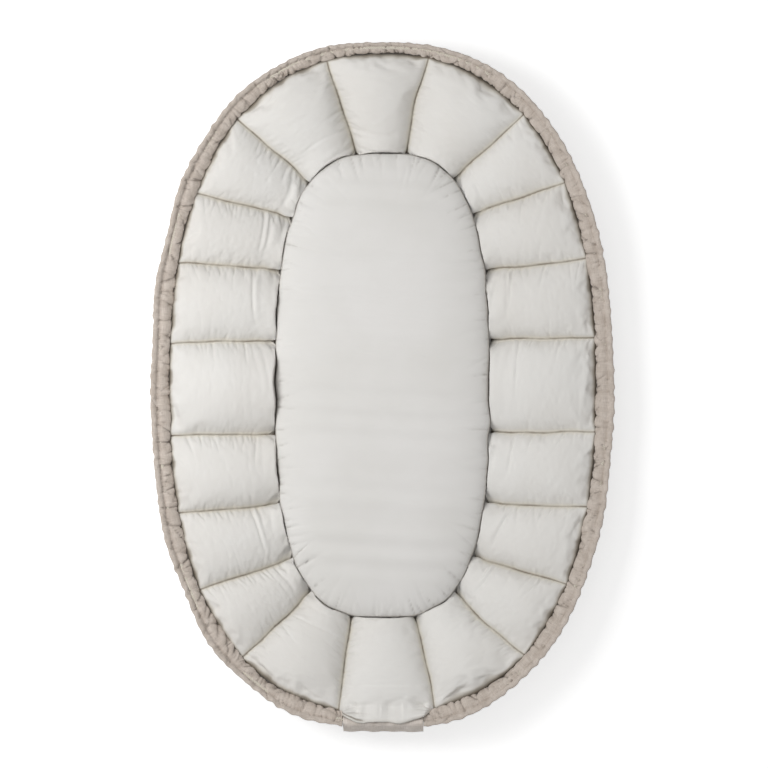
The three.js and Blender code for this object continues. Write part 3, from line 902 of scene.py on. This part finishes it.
# Slow waves along the rim, by the pitch of each
rim_places = np.linspace(0, RIM_AROUND, 4000)
RIM_WAVES = {
    name: soft_waves(rim_places, pitch, gather_random)
    for name, pitch in (("ruffle", 0.014), ("edge", 0.022), ("swell", 0.12), ("stitch", 0.04))
}


def rim_wave(name, along):
    return np.interp(along, rim_places, RIM_WAVES[name])


def casing_width(rim_share):
    """The casing is drawn in more tightly at the head, so it is narrower there."""
    return CASING_WIDTH * (1 - HEAD_NARROWING * head_share(rim_share))


def casing_gathers(along, away):
    """How far the casing swells between the gathers and is pinched at them. The gathers lean
    to one side as they run outwards."""
    leaned = along - np.interp(along, GATHER_PLACES, GATHER_LEANS) * away
    gather = np.clip(np.searchsorted(GATHER_PLACES, leaned, side="right") - 1, 0,
                     GATHER_COUNT - 2)
    to_last = leaned - GATHER_PLACES[gather]
    to_next = GATHER_PLACES[gather + 1] - leaned
    lobe = LOBE_SIZES[gather] * dome(to_last / (to_last + to_next), 0.9)
    pinched = np.zeros(len(along))
    for distance, number in ((to_last, gather), (to_next, gather + 1)):
        fold = GATHER_DEPTHS[number] * np.exp(-np.abs(distance) / GATHER_WIDTH)
        pinched = np.maximum(pinched, fold * bell(away, GATHER_REACHES[number]))
    return lobe, pinched


def cut_mouth(points, from_mouth, around):
    """Moves the points near an open end so that the end runs straight along the flap's side."""
    row = np.round(around * CASING_ROWS).astype(int)
    at_mouth = from_mouth < 1e-5
    if at_mouth.any():
        mouth_x = np.zeros(CASING_ROWS + 1)
        mouth_x[row[at_mouth]] = points[at_mouth, 0]
        side = np.sign(mouth_x[CASING_ROWS // 2])
        shift = side * (FLAP_WIDTH / 2 + MOUTH_GAP) + FLAP_SHIFT - mouth_x[row]
        points[:, 0] += shift * (1 - ramp(from_mouth, 0, 0.035))


def casing_length(name, start, stop):
    """One length of the casing, between two shares of the rim."""
    piece, part, around = cloth_grid(name, CASING_COLUMNS, CASING_ROWS)
    share = start + (stop - start) * part
    along = share * RIM_AROUND
    angle = 2 * math.pi * around
    place = 0.5 - 0.5 * np.cos(angle)
    narrow = casing_width(share) / CASING_WIDTH
    away = place * casing_width(share)
    face = np.where(around < 0.5, 1, -1)
    lobe, pinched = casing_gathers(along, away)

    # The tube's section, thick up to the stitches and thin beyond them, and over the liner
    beyond = np.clip((place - STITCH_SHARE) / (1 - STITCH_SHARE), 0, 1)
    uneven = rim_wave("swell", along)
    swell = 0.86 + 0.3 * lobe + 0.07 * uneven
    inner = TUBE_HEIGHT * narrow * swell * dome(np.clip(place / STITCH_SHARE, 0, 1))
    outer = np.maximum(OUTER_HEIGHT * dome(beyond), LEAST_HEIGHT * dome(place))
    height = np.maximum(inner, outer) * face
    height += 0.0009 * rim_wave("ruffle", along) * ramp(beyond, 0, 1)
    overlap = (0.0010 + 0.0022 * lobe + 0.0009 * uneven) * narrow ** 2
    across = CASING_SEAM_GAP + away
    across -= overlap * bell(around - 0.12, 0.075)
    across += 0.0004 * rim_wave("edge", along) * beyond
    across += 0.0012 * uneven * place
    station = station_at_rim(share)
    slope, inward = casing_frame(station)
    seam = wall_point(station, 1 + 0 * station)
    points = seam + slope * across[:, None] + inward * height[:, None]
    from_mouth = np.minimum(along, RIM_AROUND - along) - MOUTH_SHARE * RIM_AROUND
    cut_mouth(points, from_mouth, around)

    # The gathers, the folds and the drawn stitches sink into the cloth
    from_stitch = np.abs(place - STITCH_SHARE) * casing_width(share)
    folded = np.zeros(len(along))
    for own, seed in ((face > 0, 61), (face < 0, 62)):
        random = np.random.default_rng(seed)
        for kind in CASING_CREASES:
            folded[own] += creases(along[own], away[own], RIM_AROUND, random, sharp=True,
                                   **kind)
        folded[own] += creases(along[own], from_stitch[own], RIM_AROUND, random, sharp=True,
                               **STITCH_CREASES)
    drawn = 0.45 + 0.55 * ramp(rim_wave("stitch", along), -0.4, 0.7)
    sunk = GATHER_DEEPEST * pinched + folded + 0.0010 * drawn * bell(from_stitch, 0.0011)
    crowded = 1 + 0.7 * (1 - ramp(from_mouth, 0.01, 0.05))
    sunk *= crowded * ramp(place, 0, 0.05) * (1 - 0.75 * ramp(place, 0.86, 1))
    outside = unit(inward * np.sin(angle)[:, None] - slope * (0.5 * np.cos(angle))[:, None])
    place_points(piece, points - outside * sunk[:, None])

    length = (stop - start) * RIM_AROUND
    scale_uv(piece, length * CASING_FULLNESS, CASING_STRIP)
    face_towards(piece, inward * face[:, None])
    # Painted shade: the warm tone and dark line along the drawn stitches, and the line's colour
    # in the gathers, in the deep folds and in the crevice against the liner.
    write_attribute(piece, "seam", 0.9 * drawn * bell(from_stitch, 0.0012))
    in_gathers = 0.35 * pinched * np.exp(-away / 0.006)
    in_folds = np.maximum(in_gathers, 0.50 * ramp(folded, 0.0008, 0.0026))
    at_liner = 0.8 * (1 - ramp(away, 0.0004, 0.0026))
    write_attribute(piece, "crevice", np.maximum(at_liner, in_folds * ramp(place, 0, 0.05)))
    thicken(piece, CASING_CLOTH)
    finish_piece(piece, casing_linen, "nest", "casing_linen", "rim_casing")


casing_length("rim_casing_foot_right", MOUTH_SHARE, 0.25)
casing_length("rim_casing_head_right", 0.25, 0.5)
casing_length("rim_casing_head_left", 0.5, 0.75)
casing_length("rim_casing_foot_left", 0.75, 1 - MOUTH_SHARE)


# Mattress: two covers that meet in a seam round the edge, the upper one crowned

MATTRESS_TOP = TOP_HIGH.z
MATTRESS_SEAM = TOP_LOW.z
DISTANCE_BLOCK = 4096
CUSHION_FULLNESS = 2.2


def oval_grid(name, oval, columns, rows):
    """A grid that fills an oval, with no pole. Returns the piece, its plan places and each
    point's distance from the oval's edge and place on it."""
    piece, across, up = cloth_grid(name, columns, rows)
    x, y = 2 * across - 1, 2 * up - 1
    reach = np.maximum(np.maximum(np.abs(x), np.abs(y)), 1e-9)
    power = oval.squareness
    total = np.abs(x / reach) ** power + np.abs(y / reach) ** power
    scale = np.maximum(total, 1) ** (-1 / power)
    plan = np.stack([x * scale * oval.half_width, y * scale * oval.half_length], -1)
    shares = np.linspace(0, 1, EDGE_STEPS, endpoint=False)
    edge = np.stack(oval.at(shares), -1)
    steps = shares * oval.perimeter
    away = np.empty(len(plan))
    along = np.empty(len(plan))
    for start in range(0, len(plan), DISTANCE_BLOCK):
        block = slice(start, start + DISTANCE_BLOCK)
        distance = np.linalg.norm(plan[block, None] - edge[None], axis=2)
        away[block] = distance.min(1)
        along[block] = steps[distance.argmin(1)]
    scale_uv(piece, 2 * oval.half_width, 2 * oval.half_length)
    return piece, plan, away, along


def cushion_edge(away, reach, steepness):
    """Rise of a cushion's face from its seam, as a share, at a distance from the seam."""
    share = np.clip(away / reach, 0, 1)
    return (1 - (1 - share) ** CUSHION_FULLNESS) ** steepness


def waved_plan(plan, away):
    """Plan places with the mattress's uneven edge, on the floor panel's middle."""
    safe = np.where(np.abs(plan).sum(1, keepdims=True) > 1e-6, plan, 1e-3)
    wave = (mattress_edge(safe[:, 0], safe[:, 1]) - 1) * (1 - ramp(away, 0, 0.03))
    return plan * (1 + wave)[:, None] + [0, CENTRE_Y]


top, plan, away, along = oval_grid("mattress_top", mattress_oval, 132, 288)
random = np.random.default_rng(12)
mattress_around = mattress_oval.perimeter
height = (MATTRESS_TOP - MATTRESS_SEAM) * cushion_edge(away, 0.079, 0.33)
waves = soft_waves(plan[:, 1] + 0.06 * plan[:, 0], 0.034, random)
height += 0.0007 * waves * ramp(away, 0.004, 0.05)
tucks = creases(along, away, mattress_around, random, pitch=0.012, reach=0.024,
                depth=0.0014, width=0.0017)
tucks += creases(along, away, mattress_around, random, pitch=0.045, reach=0.045,
                 depth=0.0007, width=0.004, slant=0.3)
wrinkles = creases(along, away, mattress_around, random, pitch=0.016, reach=0.024,
                   depth=0.0026, width=0.0010, slant=0.15, sharp=True)
height -= (tucks + wrinkles) * ramp(away, 0, 0.004)
place_points(top, np.column_stack([waved_plan(plan, away), MATTRESS_SEAM + height]))
# Painted light and shade: the seam's warm tone along the edge, and the line's colour as painted
# shade in the crevice at the edge and in the sharp wrinkles.
write_attribute(top, "seam", 0.7 * (1 - ramp(away, 0, 0.004)))
write_attribute(top, "crevice", np.maximum(0.35 * (1 - ramp(away, 0, 0.0018)),
                                           0.24 * ramp(wrinkles, 0.0005, 0.0020)))
face_towards(top, UP)
thicken(top)
finish_piece(top, mattress_cotton, "mattress", "mattress_cotton", "mattress_top_cover",
             "mattress_core")

under, plan, away, along = oval_grid("mattress_under", mattress_oval, 66, 144)
depth = (UNDER_HIGH.z - UNDER_LOW.z) * cushion_edge(away, 0.013, 0.5)
tucks = creases(along, away, mattress_around, np.random.default_rng(13), pitch=0.02,
                reach=0.02, depth=0.001, width=0.004)
depth -= tucks * ramp(away, 0, 0.004) * (1 - ramp(away, 0.02, 0.04))
place_points(under, np.column_stack([waved_plan(plan, away), UNDER_HIGH.z - depth]))
face_towards(under, -UP)
thicken(under)
finish_piece(under, mattress_cotton, "mattress", "mattress_cotton", "mattress_under_cover")


# Floor panel: a beige outside and a cream lining round thin wadding

panel_oval = Oval(PANEL_HIGH.y - PANEL_LOW.y, PANEL_HIGH.x - PANEL_LOW.x, MATTRESS_SQUARENESS)
PANEL_SEAM = (PANEL_LOW.z + LINING_HIGH.z) / 2
PANEL_SUNK = 0.006


def floor_layer(name, level, material, slot, *nodes):
    """Half of the floor panel, between the seam round its edge and a level."""
    piece, plan, away, along = oval_grid(name, panel_oval, 48, 104)
    height = (level - PANEL_SEAM) * cushion_edge(away, 0.008, 0.5)
    sunk = creases(along, away, panel_oval.perimeter, np.random.default_rng(14), pitch=0.03,
                   reach=0.02, depth=0.0008, width=0.006)
    height *= 1 - sunk / PANEL_SUNK * ramp(away, 0, 0.004)
    place_points(piece, np.column_stack([plan + [0, CENTRE_Y], PANEL_SEAM + height]))
    face_towards(piece, UP * (level - PANEL_SEAM))
    thicken(piece)
    finish_piece(piece, material, "nest", slot, *nodes)


floor_layer("floor_panel_outside", PANEL_LOW.z, skirt_linen, "skirt_linen", "base_outer",
            "base_wadding")
floor_layer("floor_panel_lining", LINING_HIGH.z, liner_cotton, "liner_cotton", "base_lining")


# Drawcord, its knot, the flap over them and the liner's loose edge over the flap

CORD_RADIUS = 0.0025
CORD_REACH = 0.0136
CORD_NARROWING = 0.30


def tube(name, path, radius, sides=12):
    """A closed tube along a path of points, with its length and girth as its UV map."""
    piece, along, around = cloth_grid(name, len(path) - 1, sides)
    step = np.round(along * (len(path) - 1)).astype(int)
    ahead = unit(np.gradient(path, axis=0))
    side = unit(np.cross(ahead, UP + 0.01 * ahead))
    over = np.cross(side, ahead)
    angle = 2 * math.pi * around
    ends = np.isin(step, (0, len(path) - 1))
    girth = np.where(ends, 0.35, 1) * radius
    place_points(piece, path[step] + side[step] * (girth * np.cos(angle))[:, None]
                 + over[step] * (girth * np.sin(angle))[:, None])
    scale_uv(piece, np.linalg.norm(np.diff(path, axis=0), axis=1).sum(), 2 * math.pi * radius)
    edit_all(piece, bpy.ops.mesh.remove_doubles, threshold=1e-6)
    activate(piece)
    bpy.ops.object.mode_set(mode="EDIT")
    bpy.ops.mesh.select_all(action="DESELECT")
    bpy.ops.mesh.select_non_manifold()
    bpy.ops.mesh.edge_face_add()
    bpy.ops.mesh.select_all(action="SELECT")
    bpy.ops.mesh.normals_make_consistent(inside=False)
    bpy.ops.object.mode_set(mode="OBJECT")
    return piece


def cord_point(rim_share):
    """The middle of the casing, where the drawcord runs."""
    station = station_at_rim(rim_share)
    reach = CORD_REACH * (1 - CORD_NARROWING * head_share(rim_share))
    return wall_point(station, 1 + 0 * station) + casing_frame(station)[0] * reach[:, None]


KNOT_LENGTH = KNOT_HIGH.x - KNOT_LOW.x
KNOT_WIDTH = KNOT_HIGH.z - KNOT_LOW.z
knot_share = KNOT_LENGTH / 2 / rim_oval.perimeter
cord = tube("drawcord", cord_point(np.linspace(knot_share, 1 - knot_share, 500)), CORD_RADIUS)
finish_piece(cord, cotton_cord, "nest", "cotton_cord", "rim_drawcord")

knot_middle = (KNOT_LOW + KNOT_HIGH) / 2
turn = np.linspace(0, 1, 160)
wraps = 3
strand = KNOT_WIDTH * 0.16
coil = (KNOT_WIDTH / 2 - strand) * np.clip(np.minimum(turn, 1 - turn) / 0.1, 0.25, 1)
knot_path = np.stack([
    knot_middle.x + (turn - 0.5) * (KNOT_LENGTH - 2 * strand),
    knot_middle.y + coil * np.cos(2 * math.pi * wraps * turn),
    knot_middle.z + coil * np.sin(2 * math.pi * wraps * turn)], -1)
knot = tube("drawcord_knot_wraps", knot_path, strand)
finish_piece(knot, cotton_cord, "nest", "cotton_cord", "drawcord_knot")

# The flap's middle line, in (outward, up) from the rim seam: up beside the knot, over it in
# an arc and straight down outside it
FLAP_THICKNESS = 0.0016
FLAP_CLOTH = 0.0012
FLAP_CLEARANCE = 0.0014
FLAP_TAIL = 0.013
FLAP_SEAM_GAP = 0.0014
TAIL_ANGLE = math.radians(40)
foot_station = station_at_rim(np.array([0.0]))
foot_seam = wall_point(foot_station, np.array([1.0]))[0]
foot_slope = casing_frame(foot_station)[0][0]
knot_out = foot_seam[1] - knot_middle.y
knot_up = knot_middle.z - foot_seam[2]
arc_radius = KNOT_WIDTH / 2 + FLAP_CLEARANCE + FLAP_THICKNESS / 2
arc = np.linspace(math.pi, TAIL_ANGLE, 24)
line = [np.array([-foot_slope[1], foot_slope[2]]) * FLAP_SEAM_GAP]
line += [np.array([knot_out + arc_radius * math.cos(a), knot_up + arc_radius * math.sin(a)])
         for a in arc]
line.append(line[-1] + FLAP_TAIL * np.array([math.sin(TAIL_ANGLE), -math.cos(TAIL_ANGLE)]))
line = np.array(line)
line_reach = np.concatenate([[0], np.cumsum(np.linalg.norm(np.diff(line, axis=0), axis=1))])
FLAP_LENGTH = line_reach[-1]

flap, across, up = cloth_grid("flap_cloth", 102, 40)
random = np.random.default_rng(21)
along = up * FLAP_LENGTH
out = np.interp(along, line_reach, line[:, 0])
high = np.interp(along, line_reach, line[:, 1])
free = ramp(along, 0.004, FLAP_LENGTH)
wave = 0.0009 * soft_waves(across * FLAP_WIDTH, 0.026, random) * free
turned = np.interp(along, line_reach, np.gradient(line[:, 0], line_reach))
raised = np.interp(along, line_reach, np.gradient(line[:, 1], line_reach))
ripple = -creases(across * FLAP_WIDTH, along, FLAP_WIDTH, random, pitch=0.008, reach=0.02,
                  depth=0.0005, width=0.002)
hem = -0.0004 * bell(FLAP_LENGTH - along - 0.004, 0.0006)
lift = wave + ripple * ramp(along, 0.002, 0.006) + hem
x = (across - 0.5) * FLAP_WIDTH + FLAP_SHIFT
place_points(flap, np.column_stack([
    x, foot_seam[1] - (out - raised * lift), foot_seam[2] + high + turned * lift]))
scale_uv(flap, FLAP_WIDTH, FLAP_LENGTH)
face_towards(flap, np.column_stack([0 * x, raised, turned]))
thicken(flap, FLAP_CLOTH)
finish_piece(flap, flap_linen, "flap", "casing_linen", "foot_flap")

# The liner's loose edge: the foot channel's cover runs on past the rim seam, over the flap's
# root, and ends in a wavy fold that is pinched at the seams on both of its sides. Its edge is
# given in shares of its width and of its reach beyond the rim seam.
FOLD_START = 0.72
FOLD_LEAVES = 0.93
FOLD_REACH = 0.0088
FOLD_THICKNESS = 0.0012
FOLD_SHOWN = 0.034
FOLD_CLEARANCE = 0.0016
FOLD_MARGIN = 0.012
FOLD_EDGE_SHARES = np.array([
    [0, 0], [0.05, 0.28], [0.13, 0.66], [0.19, 0.98], [0.27, 1.0], [0.31, 0.83], [0.40, 0.74],
    [0.53, 0.77], [0.62, 1.0], [0.66, 1.02], [0.74, 0.82], [0.88, 0.42], [1, 0],
])
FOLD_COLUMNS = 160
FOLD_ROWS = 44
ON_LINER = 0.45
LIP_END = 0.30
PINCH_RAYS = ((0, 1, (-0.42, -0.12, 0.2, 0.55)), (1, -1, (-0.5, -0.22, 0.05, 0.3, 0.62)))


def bridge(part, start, start_slope, end, end_slope):
    """Points part of the way along a smooth curve that leaves start and reaches end by the
    slopes given there."""
    return ((2 * part ** 3 - 3 * part ** 2 + 1) * start
            + (part ** 3 - 2 * part ** 2 + part) * start_slope
            + (3 * part ** 2 - 2 * part ** 3) * end + (part ** 3 - part ** 2) * end_slope)


def liner_surface(station, up):
    """The liner's outer side over points of the wall's middle surface."""
    middle = wall_point(station, up)
    inward = wall_frame(station, up)[2]
    points = []
    for place, direction in zip(middle + inward * 0.08, inward):
        hit = liner_tree.ray_cast(Vector(place), Vector(-direction))[0]
        points.append(tuple(hit))
    return np.array(points), inward


fold, across, up = cloth_grid("liner_foot_fold", FOLD_COLUMNS, FOLD_ROWS)
random = np.random.default_rng(23)
column = CHANNELS - 1 + FOLD_MARGIN + (1 - 2 * FOLD_MARGIN) * across
on_liner = up <= ON_LINER
level = FOLD_START + (FOLD_LEAVES - FOLD_START) * np.minimum(up / ON_LINER, 1)
surface, inward = liner_surface(column, level)
earlier = liner_surface(column, 0 * level + FOLD_LEAVES - 0.04)[0]
last = liner_surface(column, 0 * level + FOLD_LEAVES)[0]
between_ends = ramp(dome(across, 1), 0.0, 0.12)
rise_from = np.where(up < 0.12, -0.0009 + 0.0017 * up / 0.12, 0.0008) * between_ends
on_surface = surface + inward * rise_from[:, None]
reach = FOLD_REACH * np.interp(across, FOLD_EDGE_SHARES[:, 0], FOLD_EDGE_SHARES[:, 1])
rim = wall_point(column, 1 + 0 * column)
roof = arc_radius + FLAP_THICKNESS / 2
roof_turn = np.linspace(0, 2.2, 40)
roof_out = np.concatenate([[-0.004], knot_out - roof * np.cos(roof_turn)])
roof_up = np.concatenate([[0.001], knot_up + roof * np.sin(roof_turn)])
beside_flap = np.abs(rim[:, 0] - FLAP_SHIFT) > FLAP_WIDTH / 2 + 0.001
roof_level = np.interp(reach, roof_out, roof_up) + FOLD_CLEARANCE
end = rim + np.column_stack([0 * reach, -reach, roof_level * ramp(reach, 0, 0.003) + 0.001])
start = last + inward * (0.0008 * between_ends)[:, None]
span = np.linalg.norm(end - start, axis=1)[:, None]
start_slope = unit(last - earlier) * span
end_slope = np.column_stack([0 * reach, -1 + 0 * reach, -0.45 + 0 * reach]) * span
part = np.clip((up - ON_LINER) / (1 - ON_LINER), 0, 1)
off_liner = bridge(part[:, None], start, start_slope, end, end_slope)
points = np.where(on_liner[:, None], on_surface, off_liner)
out = rim[:, 1] - points[:, 1]
needed = rim[:, 2] + np.interp(out, roof_out, roof_up, left=-1) + FOLD_CLEARANCE
over_flap = (out > 0.001) & ~beside_flap
points[:, 2] = np.where(over_flap, np.maximum(points[:, 2], needed), points[:, 2])

# Folds that run out from the pinched ends, and a deep one along the left part of the edge
plan_x = points[:, 0] - rim[:, 0].min()
plan_width = rim[:, 0].max() - rim[:, 0].min()
sunk = np.zeros(len(across))
shade = np.zeros(len(across))
for end_share, way, slopes in PINCH_RAYS:
    beyond = (plan_x - end_share * plan_width) * way
    aside = points[:, 1] - np.where(end_share, rim[-1, 1], rim[0, 1])
    for slant in slopes:
        far = random.uniform(0.022, 0.045)
        offset = np.abs(aside - (slant - 0.18) * beyond + 4 * beyond ** 2 * slant)
        wide = 0.0007 + 0.045 * np.clip(beyond, 0, None)
        ridge = np.exp(-offset / wide) - 0.35 * bell(offset - 2.2 * wide, wide)
        fade = ramp(beyond, 0.001, 0.006) * bell(beyond, far)
        ray = random.uniform(0.0016, 0.0030) * ridge * fade
        shade = np.maximum(shade, 0.30 * ramp(ray, 0.0006, 0.0022))
        sunk += ray
edge_gap = (1 - part) * span[:, 0]
lip = bell(edge_gap - 0.0042 * dome(np.clip(across / LIP_END, 0, 1)), 0.0010)
lip *= 1 - ramp(across, LIP_END - 0.08, LIP_END)
lip *= ramp(across, 0.01, 0.05) * (up > ON_LINER)
sunk += 0.0022 * lip
sunk *= ramp(up, 0.05, 0.3)
points[:, 2] -= sunk
wave = 1 + soft_waves(across * plan_width, 0.022, random)
points[:, 2] += 0.0008 * wave * part ** 2 * dome(across)
place_points(fold, points)
scale_uv(fold, plan_width, FOLD_SHOWN)
# Painted light and shade: the seam's warm tone towards the fold's edge, and the line's colour as
# painted shade under the lip and in the folds from the pinched ends.
write_attribute(fold, "seam", 0.55 * ramp(part, 0.6, 1.0))
write_attribute(fold, "crevice", np.maximum(0.8 * lip, shade))
face_towards(fold, UP)
thicken(fold, FOLD_THICKNESS)
finish_piece(fold, liner_cotton, "nest", "liner_cotton")


# Floor and light

FLOOR_SIZE = 12
FLOOR_Z = -0.0005
FLOOR_GREY = (0.8, 0.8, 0.8, 1)
FLOOR_GLOW = 0.54
KEY_PLACE = (-0.6, 0.15, 1.05)
KEY_SIZE = 0.55
KEY_POWER = 7.9
TOP_PLACE = (0, 0, 2.6)
TOP_SIZE = 1.6
TOP_POWER = 5
WORLD_STRENGTH = 0.415


def white_light(node, strength):
    node.inputs["Color"].default_value = (1, 1, 1, 1)
    node.inputs["Strength"].default_value = strength
    return node.outputs[0]


def for_camera(tree, unseen, seen):
    """A shader that shows the camera one shader and every other ray another."""
    ray = tree.nodes.new("ShaderNodeLightPath")
    mix = tree.nodes.new("ShaderNodeMixShader")
    tree.links.new(ray.outputs["Is Camera Ray"], mix.inputs["Fac"])
    tree.links.new(unseen, mix.inputs[1])
    tree.links.new(seen, mix.inputs[2])
    return mix.outputs["Shader"]


deselect_all()
bpy.ops.mesh.primitive_plane_add(size=FLOOR_SIZE, location=(0, 0, FLOOR_Z))
floor = bpy.context.active_object
bpy.ops.object.transform_apply(location=True, rotation=False, scale=False)
floor.name = "floor"
floor_material = bpy.data.materials.new("studio_floor")
floor_material.use_nodes = True
tree = floor_material.node_tree
tree.nodes.clear()
output = tree.nodes.new("ShaderNodeOutputMaterial")
diffuse = tree.nodes.new("ShaderNodeBsdfDiffuse")
diffuse.inputs["Color"].default_value = FLOOR_GREY
dark = white_light(tree.nodes.new("ShaderNodeEmission"), 0)
glow = white_light(tree.nodes.new("ShaderNodeEmission"), FLOOR_GLOW)
both = tree.nodes.new("ShaderNodeAddShader")
tree.links.new(diffuse.outputs["BSDF"], both.inputs[0])
tree.links.new(for_camera(tree, dark, glow), both.inputs[1])
tree.links.new(both.outputs["Shader"], output.inputs["Surface"])
floor.data.materials.append(floor_material)


def soft_light(name, place, size, power):
    data = bpy.data.lights.new(name, "AREA")
    data.shape = "SQUARE"
    data.size = size
    data.energy = power
    light = bpy.data.objects.new(name, data)
    bpy.context.scene.collection.objects.link(light)
    light.location = place
    light.rotation_mode = "QUATERNION"
    light.rotation_quaternion = (-Vector(place)).to_track_quat("-Z", "Y")


soft_light("key", KEY_PLACE, KEY_SIZE, KEY_POWER)
soft_light("top", TOP_PLACE, TOP_SIZE, TOP_POWER)

world = bpy.data.worlds.new("studio")
bpy.context.scene.world = world
world.use_nodes = True
tree = world.node_tree
lit = white_light(tree.nodes["Background"], WORLD_STRENGTH)
shown = white_light(tree.nodes.new("ShaderNodeBackground"), 1)
tree.links.new(for_camera(tree, lit, shown), tree.nodes["World Output"].inputs["Surface"])
bpy.context.scene.view_settings.view_transform = "Standard"
